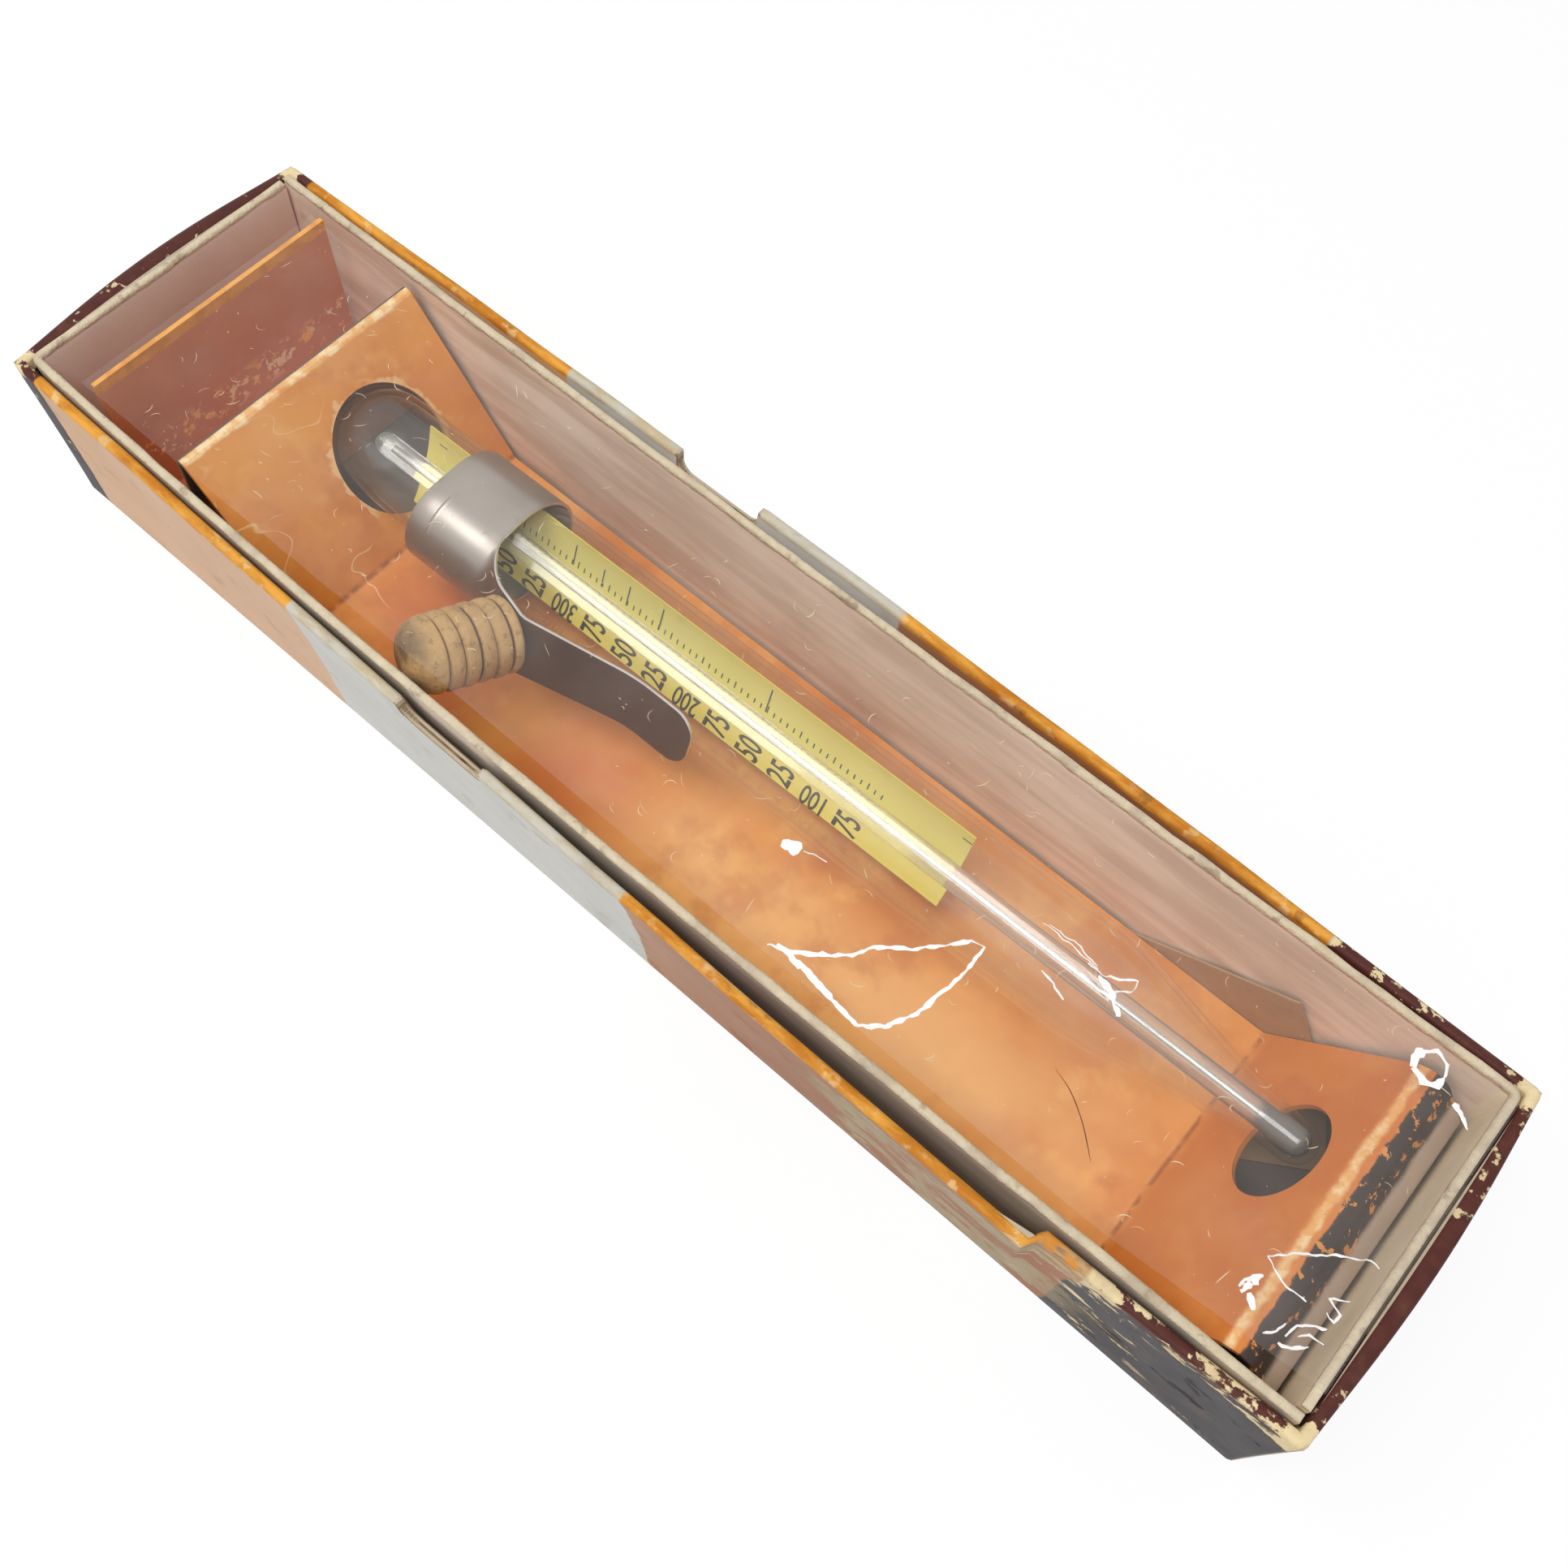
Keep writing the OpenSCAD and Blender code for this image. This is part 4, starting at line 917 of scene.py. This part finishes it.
def blade_half(x):
    """Half width of the blade along its sheet, with root fillets and tip corners."""
    e, f = x - BLADE_X, BLADE_END - x
    out = lerp(TIP_HALF, ROOT_HALF, max(0.0, min(1.0, (FALL_END - x) / FALL_RUN)))
    return out + (quarter(FILLET, e) if e < FILLET else 0) - (quarter(TIP_R, f) if f < TIP_R else 0)


def blade_row(x):
    """One row across the blade: bent like the loop at its root, nearly flat further on."""
    u = min(1.0, (x - BLADE_X) / FLATTEN)
    k = lerp(1 / LOOP_NEAR_R, FLAT_BEND, u * u * (3 - 2 * u))
    out = []
    for j in range(NEAR_COLS + 1):
        a = -blade_half(x) * k * (2 * j / NEAR_COLS - 1)
        out.append((x, (1 - math.cos(a)) / k - blade_d(x), math.sin(a) / k))
    return out


blade_xs = [BLADE_X + e for e in (0.12, 0.35, 0.7, 1.2, 1.8, 2.5, 3.2)]
blade_xs += [lerp(BLADE_X + 4, BLADE_END - TIP_R, i / 34) for i in range(35)]
blade_xs += [BLADE_END - TIP_R * (1 - math.sin(math.radians(w))) for w in (15, 30, 45, 60, 75, 84)]
bm = bmesh.new()
band_rows = [[(lerp(CLIP_X0, BLADE_X, i / 6), y, t) for y, t in loop_pts] for i in range(7)]
row = sheet_of_rows(bm, band_rows, True)[1][:NEAR_COLS + 1]
for x in blade_xs:
    row = push_row(bm, row, blade_row(x))
face_from(bm, (-50, 0, 0))
skin = set(bm.verts)
thicken(bm, CLIP_T)
for f in bm.faces:
    f.material_index = int(0 < sum(v in skin for v in f.verts) < len(f.verts))
print("cut edge faces:", sum(f.material_index for f in bm.faces))
soften(bm, [e for e in bm.edges if e.is_manifold and e.calc_face_angle(0) > 1.0], 0.12, 2)
# The pressed dash on the loop: a low ridge that follows its curve
DASH_X = -56.5
DASH_SHAPE = ((-0.5, -0.05), (-0.25, 0.10), (0, 0.16), (0.25, 0.10), (0.5, -0.05))
dash_rows = []
for y, t in arc(-NEAR_C, 0, LOOP_NEAR_R, 160, FLANK + 1, 12):
    out = Vector((0, y + NEAR_C, t)).normalized()
    dash_rows.append([Vector((DASH_X + dx, y, t)) + out * up for dx, up in DASH_SHAPE])
sheet_of_rows(bm, dash_rows)
face_out(bm)
bmesh.ops.transform(bm, matrix=CLIP_PLACE, verts=bm.verts)
piece("clip_sheet", bm, [CLIP_MAT, EDGE_MAT], "clip", ["pan_clip"], 35)

# %% [markdown]
# ## Wood grip and its screw
#
# The grip is turned from a dowel: five cut grooves and a rounded end. Its outline is spun about its
# axis. The grooves are painted darker and dirt sits on the handled end, so each point keeps its
# groove's depth and its place along the grip in a UV map of its own.

# %% Grip
GRIP_L, GRIP_R, GRIP_TIP, GROOVES, PER_GROOVE = 18.0, 6.4, 4.4, 5, 16
GROOVE_D, GROOVE_W, SWELL, ROOT_IN, ROOT_RUN = 0.6, 0.09, 0.16, 0.75, 0.35
SEAT, RISE_TURN = Vector((-34.465, -16.433, 0)), math.radians(17.2)
GRIP_PLACE = (CLIP_PLACE @ Matrix.Translation(SEAT) @ Matrix.Rotation(-RISE_TURN, 4, "Z")
              @ Matrix.Rotation(math.radians(-90), 4, "Z"))
g = Graph("grip wood")
uv = g.add("UVMap")
uv.uv_map = "turned"
sep = g.add("SeparateXYZ", Vector=uv.outputs[0])
depth, height = sep.outputs[0], sep.outputs[1]
grain, pores = g.noise(420, 8, (1.0, 0.5, 0.6), 0.65), g.noise(900, 6)
col = g.mix(grain, (214, 180, 126), (172, 134, 86))
col = g.spots(col, 170, 6, 0.45, 0.70, 0.45, (150, 114, 72))
col = g.mix(g.times(g.step(pores, 0.56, 0.66), 0.5), col, (126, 94, 60))
# The grooves are painted darker.
col = g.mix(g.times(g.step(depth, 0.25, 0.9), 0.9), col, (78, 58, 40))
grime = g.times(g.step(height, 0.80, 0.99), g.flecks(200, 6, 0.30, 0.60))
col = g.mix(g.times(grime, 0.8), col, (92, 72, 52))
g.bump(g.plus(grain, g.times(pores, 0.5)), 0.6, 0.0005)
GRIP_MAT = g.finish(col, 0.75)

shoulder = GRIP_L - GRIP_TIP
pitch = shoulder / GROOVES
profile, groove_depth = [(0.0, 1.4)], [0.0]
for i in range(GROOVES * PER_GROOVE + 1):
    x = lerp(0.12, shoulder, i / (GROOVES * PER_GROOVE))
    u = (x / pitch - 0.75) % 1.0
    dip = math.exp(-(min(u, 1 - u) / GROOVE_W) ** 2)
    swell = SWELL * math.cos((u - 0.5) * math.pi) ** 2
    root = ROOT_IN * math.exp(-x / ROOT_RUN)
    profile.append((x, GRIP_R - SWELL + swell - GROOVE_D * dip - root))
    groove_depth.append(dip)
for x, y in arc(shoulder, GRIP_R - SWELL - GRIP_TIP, GRIP_TIP, 86, 0, 12):
    profile.append((x, y))
    groove_depth.append(0.0)
profile.append((GRIP_L + 0.05, 0.0))
groove_depth.append(0.0)
bm = bmesh.new()
spin_x(bm, profile, 72)
layer = bm.loops.layers.uv.new("turned")
by_x = {round(p[0], 3): d for p, d in zip(profile, groove_depth)}
for f in bm.faces:
    for loop in f.loops:
        x = loop.vert.co.x
        loop[layer].uv = (by_x.get(round(x, 3), 0.0), x / GRIP_L)
for v in bm.verts:
    rough = 0.10 * noise.noise(v.co * 0.9) + 0.06 * noise.noise(v.co * 2.6 + Vector((5, 0, 0)))
    v.co.y *= 1 + rough / GRIP_R
    v.co.z *= 1 + rough / GRIP_R
bmesh.ops.transform(bm, matrix=GRIP_PLACE, verts=bm.verts)
piece("grip_turned", bm, [GRIP_MAT], "clip", ["wood_grip"], 60)
dress("grip_screw", CLIP_MAT)

# %% [markdown]
# ## Film
#
# Clear film is stretched over the insert and turned down outside the tray's end. It is one grid laid
# out by its length along the film, with shallow waves. Its dulled skin lets most of the view through.

# %% Film
g = Graph("clear film")
clear = g.shader("BsdfTransparent", Color=(0.975, 0.97, 0.965, 1.0))
shine = g.shader("BsdfGlossy", Color=(1, 1, 1, 1), Roughness=0.06)
haze = g.shader("BsdfDiffuse", Color=(232, 222, 212))
dull = g.plus(0.018, g.times(g.flecks(60, 6, 0.40, 0.75), 0.05))
specks = g.times(g.flecks(1500, 2, 0.745, 0.775), 0.45)
FILM_MAT = g.show(g.blend(g.sheen_of_glass(0.035), g.blend(g.most(dull, specks), clear, haze), shine))

FILM_X0, FILM_X1, FILM_Z0, FILM_Z1 = -112.48, 123.03, 35.46, 35.76
FILM_NEAR, FILM_FAR, FILM_SKEW, FILM_SKEW_L, FILM_BEND, FILM_DROP = -25.25, 25.15, 2.6, 33.0, 0.5, 8.0
TUCK_X, TUCK_IN, TUCK_RUN, END_IN, END_X, END_RUN = -80, 2.9, 26, 0.8, -90, 15


def film_edges(x):
    """Near and far edge of the film at a place along it."""
    near = FILM_NEAR + FILM_SKEW * max(0.0, x - (FILM_X1 - FILM_SKEW_L)) / FILM_SKEW_L
    far = FILM_FAR - TUCK_IN * math.exp(-((x - TUCK_X) / TUCK_RUN) ** 2)
    return near, far - END_IN * max(0.0, min(1.0, (END_X - x) / END_RUN))


def film_z(x, y):
    """Height of the film: a straight sheet with shallow waves."""
    u = (x - FILM_X0) / (FILM_X1 - FILM_X0)
    wave = noise.noise((x * 0.022, y * 0.05, 4.0)) * 0.35 + noise.noise((x * 0.09, y * 0.12, 8.0)) * 0.08
    hold = max(0.0, min(1.0, u * 8, (1 - u) * 8))
    return lerp(FILM_Z0, FILM_Z1, u) + (wave + 0.16) * hold


FLAT_COLS, BEND_COLS, DROP_COLS, ACROSS = 176, 6, 5, 44
flat_end = FILM_X1 - FILM_BEND
stations = [(lerp(FILM_X0, flat_end, i / FLAT_COLS), None) for i in range(FLAT_COLS)]
stations += arc(flat_end, FILM_Z1 - FILM_BEND, FILM_BEND, 90, 0, BEND_COLS)
for i in range(1, DROP_COLS + 1):
    stations.append((FILM_X1, FILM_Z1 - lerp(FILM_BEND, FILM_DROP, i / DROP_COLS)))
bm = bmesh.new()
bmesh.ops.create_grid(bm, x_segments=len(stations) - 1, y_segments=ACROSS, size=0.5)
for v in bm.verts:
    x, z = stations[round((v.co.x + 0.5) * (len(stations) - 1))]
    near, far = film_edges(x)
    y = lerp(near, far, v.co.y + 0.5)
    v.co = (x, y, film_z(x, y) if z is None else z)
film_area = sum(f.calc_area() for f in bm.faces) * MM * MM
film = piece("film_sheet", bm, [FILM_MAT], "film", ["film_cover"], 60)

# %% [markdown]
# ## Creases, lint and a hair on the film
#
# Where the film was pinched it stands up in narrow ridges, white partly from the creasing and partly
# as a painted highlight for their glints. They are ribbons with a raised middle, laid on the film
# along a few points. Lint is the same in small, scattered by a fixed seed.

# %% Creases
STRAY, STRAY_LAYERS = 0.35, (2.3, 9.7)


def smooth_path(points, n=5):
    """A curve through points."""
    pts = [Vector(p) for p in points]
    pts = [2 * pts[0] - pts[1]] + pts + [2 * pts[-1] - pts[-2]]
    out = []
    for a, b, c, d in zip(pts, pts[1:], pts[2:], pts[3:]):
        for i in range(n):
            u = i / n
            out.append(0.5 * (2 * b + (c - a) * u + (2 * a - 5 * b + 4 * c - d) * u * u
                              + (3 * b - a - 3 * c + d) * u ** 3))
    return out + [pts[-2]]


def kinked_path(points, pace=0.6):
    """Straight runs between points, each wandering a little."""
    out = []
    for a, b in zip(points, points[1:]):
        a, b = Vector(a), Vector(b)
        n = max(2, round((b - a).length / pace))
        for i in range(n):
            p = a.lerp(b, i / n)
            stray = [noise.noise((p.x * 0.8, p.y * 0.8, layer)) for layer in STRAY_LAYERS]
            out.append(p + Vector(stray) * (STRAY if i else 0.0))
    return out + [Vector(points[-1])]


def ribbon(bm, points, width, height, kinked=False, ragged=0.4):
    """A narrow ridge on the film; its width wanders and runs out at its ends."""
    path = kinked_path(points) if kinked else smooth_path(points)
    rows = []
    for i, p in enumerate(path):
        q, o = path[min(i + 1, len(path) - 1)], path[max(i - 1, 0)]
        side = (q - o).normalized().orthogonal()
        w = width / 2 * (1 + ragged * noise.noise((p.x * 0.9, p.y * 0.9, 3.0)) * 2)
        w *= min(1.0, (0.6 if kinked else 0.25) + 3 * min(i, len(path) - 1 - i) / len(path))
        z = film_z(p.x, p.y) + 0.03
        a, b = p - side * w, p + side * w
        rows.append([(a.x, a.y, z), (p.x, p.y, z + height), (b.x, b.y, z)])
    sheet_of_rows(bm, rows)


# Painted highlight, in part: the creases are near-white for the glints of light on them.
g = Graph("film crease")
CREASE_MAT = g.finish(g.mix(g.noise(800, 4), (1, 1, 1, 1), (236, 232, 228)), 0.2)
bm = bmesh.new()
RIDGES = (
    ([(33.0, -24.2), (36.2, -22.8), (42.8, -17.7), (44.2, -14.8), (48.9, -11.1), (53.7, -5.2),
      (55.7, -4.7)], 0.6),
    ([(55.7, -4.7), (55.8, -9.9), (54.7, -18.3), (52.6, -22.6), (49.6, -25.0)], 0.6),
    ([(49.6, -25.0), (45.4, -24.4), (41.6, -23.9), (38.5, -23.4), (35.2, -23.0)], 0.7),
    ([(34.0, -23.2), (36.4, -23.3), (38.6, -24.0)], 0.7),
    ([(67.8, 2.9), (70.8, 2.9), (73, 4.3), (74.5, 5.4)], 0.34),
    ([(74.5, 5.4), (74.8, 3.8), (72.9, 1.5)], 0.3),
    ([(70.0, 2.4), (71.6, 1.9), (73.2, 1.2), (75.4, -0.6)], 0.8),
    ([(59.6, 3.5), (64.5, 3.6), (69.3, 3.1)], 0.2),
    ([(60.4, 3.9), (65.0, 4.2), (69.0, 3.4)], 0.2),
    ([(63.6, -2.2), (66.0, -2.6), (68.4, -3.6)], 0.3),
    ([(109.1, 23.0), (110.7, 24.4), (112.8, 23.6), (113.4, 21.6)], 0.5),
    ([(113.4, 21.6), (113.2, 20.2), (111.4, 19.4), (109.4, 20.2)], 0.9),
    ([(109.4, 20.2), (108.9, 21.6), (109.3, 23.2)], 1.1),
    ([(116.1, 19.5), (117.0, 19.2), (117.8, 18.8)], 0.9),
    ([(117.0, 19.0), (118.2, 18.6), (119.4, 17.7)], 0.4),
    ([(108.3, -13.6), (110.9, -10.8), (115.4, -7.4), (118.7, -5.3), (120.0, -5.5)], 0.26),
    ([(108.3, -13.6), (110.8, -14.7), (112.7, -15.2), (115.1, -15.1)], 0.24),
    ([(115.4, -20.4), (115.8, -18.3), (117.6, -16.8), (118.9, -16.2)], 0.34),
    ([(117.8, -14.5), (119.1, -14.9), (119.3, -13.6), (117.1, -12.9), (119.3, -11.4)], 0.3),
    ([(115.1, -21.6), (116.4, -21.2), (117.2, -20.6), (118.3, -19.5)], 0.36),
    ([(113.0, -21.9), (114.2, -20.6), (114.6, -19.0)], 0.3),
    ([(116.6, -19.4), (117.6, -18.2), (119.6, -18.0)], 0.26),
    ([(24.5, -11.4), (25.6, -10.9), (27.3, -10.6)], 1.5),
    ([(27.6, -10.3), (29.4, -9.6), (31.2, -9.4)], 0.2),
    ([(108.1, -19.6), (108.3, -18.6), (108.5, -17.8)], 1.0),
    ([(108.6, -17.7), (108.6, -16.9), (109.2, -16.0)], 0.8),
    ([(109.0, -19.0), (110.0, -19.8), (110.6, -20.4)], 0.9),
    ([(107.6, -19.2), (107.7, -18.0), (108.3, -17.0)], 0.4),
)
RIDGE_H, LINT_H, LINT_COUNT = 0.14, 0.03, 240
for points, width in RIDGES:
    ribbon(bm, points, width, RIDGE_H, True, 0.5)
face_out(bm)
creases = piece("film_creases", bm, [CREASE_MAT], "film", (), 60)

# %% Lint and hair
g = Graph("lint")
LINT_MAT = g.finish(g.tones(300, 3, (238, 222, 196), (206, 180, 140)), 0.9)
bm = bmesh.new()
for k in range(LINT_COUNT):
    x = rng.uniform(FILM_X0 + 4, FILM_X1 - 5)
    near, far = film_edges(x)
    p = Vector((x, rng.uniform(near + 2, far - 2)))
    turn, bend, length = rng.uniform(0, 6.28), rng.uniform(-0.9, 0.9), rng.uniform(0.5, 2.4) ** 1.2
    points = [p]
    for i in range(3):
        turn += bend
        points.append(points[-1] + Vector((math.cos(turn), math.sin(turn))) * length / 3)
    inside = all(near + 0.5 < q.y < far - 0.5 and FILM_X0 + 1 < q.x < FILM_X1 - 1 for q in points)
    if inside:
        ribbon(bm, points, rng.uniform(0.05, 0.11), LINT_H, ragged=0.1)
face_out(bm)
lint = piece("film_lint", bm, [LINT_MAT], "film", (), 60)

g = Graph("hair")
HAIR_MAT = g.finish(g.tones(500, 3, (122, 62, 30), (94, 46, 24)), 0.6)
bm = bmesh.new()
HAIR_W, HAIR_H = 0.16, 0.06
HAIR_PATH = [(73.3, -12.0), (76.6, -13.1), (80.0, -15.2), (82.5, -17.3), (84.2, -18.9)]
ribbon(bm, HAIR_PATH, HAIR_W, HAIR_H, ragged=0.1)
face_out(bm)
hair = piece("film_hair", bm, [HAIR_MAT], "film", (), 60)

# %% [markdown]
# ## Stage: floor, light and camera
#
# A white floor that keeps a soft shadow, one long soft light above the near side and an even
# surround. To the eye, to metal and to glass the floor and the surround are white; the light on the
# object stays at a plain level. The camera stands where the photo's corners of the box put it.

# %% Stage
SURROUND, SEEN_SHARE, FLOOR_HALF = 0.50, 0.88, 4.0
KEY_PLACE, KEY_AIM = Vector((-0.10, -0.26, 0.85)), Vector((-0.10, 0, 0.02))
KEY_L, KEY_W, KEY_POWER = 1.0, 0.36, 6.4
CAM_PLACE, CAM_TURN = (0.079967, -0.085866, 0.245790), (25.855, -1.951, 40.891)
CAM_LENS, SENSOR, CAM_NEAR = 37.29, 36.0, 0.01
g = Graph("floor")
g.finish((0.93, 0.93, 0.93, 1), 0.9)
glow = g.shader("Emission", Color=(1, 1, 1, 1), Strength=1.0)
FLOOR_MAT = g.show(g.blend(g.times(seen_rays(g.tree), SEEN_SHARE), g.bsdf.outputs[0], glow))
bm = bmesh.new()
bmesh.ops.create_grid(bm, x_segments=1, y_segments=1, size=FLOOR_HALF)
mesh = bpy.data.meshes.new("floor")
bm.to_mesh(mesh)
bm.free()
mesh.materials.append(FLOOR_MAT)
floor = bpy.data.objects.new("floor", mesh)
scene.collection.objects.link(floor)

world = bpy.data.worlds.new("surround")
world.use_nodes = True
scene.world = world
tree = world.node_tree
back = tree.nodes["Background"]
back.inputs["Color"].default_value = (1, 1, 1, 1)
level = tree.nodes.new("ShaderNodeMapRange")
level.inputs["To Min"].default_value = SURROUND
level.inputs["To Max"].default_value = 1.0
tree.links.new(seen_rays(tree), level.inputs["Value"])
tree.links.new(level.outputs["Result"], back.inputs["Strength"])

key_data = bpy.data.lights.new("key", "AREA")
key_data.shape = "RECTANGLE"
key_data.size = KEY_L
key_data.size_y = KEY_W
key_data.energy = KEY_POWER
key = bpy.data.objects.new("key", key_data)
key.location = KEY_PLACE
aim, side = (KEY_AIM - KEY_PLACE).normalized(), Vector((1, 0, 0))
key.rotation_euler = Matrix((side, side.cross(aim), -aim)).transposed().to_euler()
scene.collection.objects.link(key)

cam_data = bpy.data.cameras.new("camera")
cam_data.sensor_width = SENSOR
cam_data.lens = CAM_LENS
cam_data.clip_start = CAM_NEAR
cam = bpy.data.objects.new("camera", cam_data)
turn = Euler([math.radians(a) for a in CAM_TURN]).to_matrix().to_4x4()
cam.matrix_world = Matrix.Translation(CAM_PLACE) @ turn
scene.collection.objects.link(cam)
scene.camera = cam
scene.view_settings.view_transform = "Standard"
print("stage set")
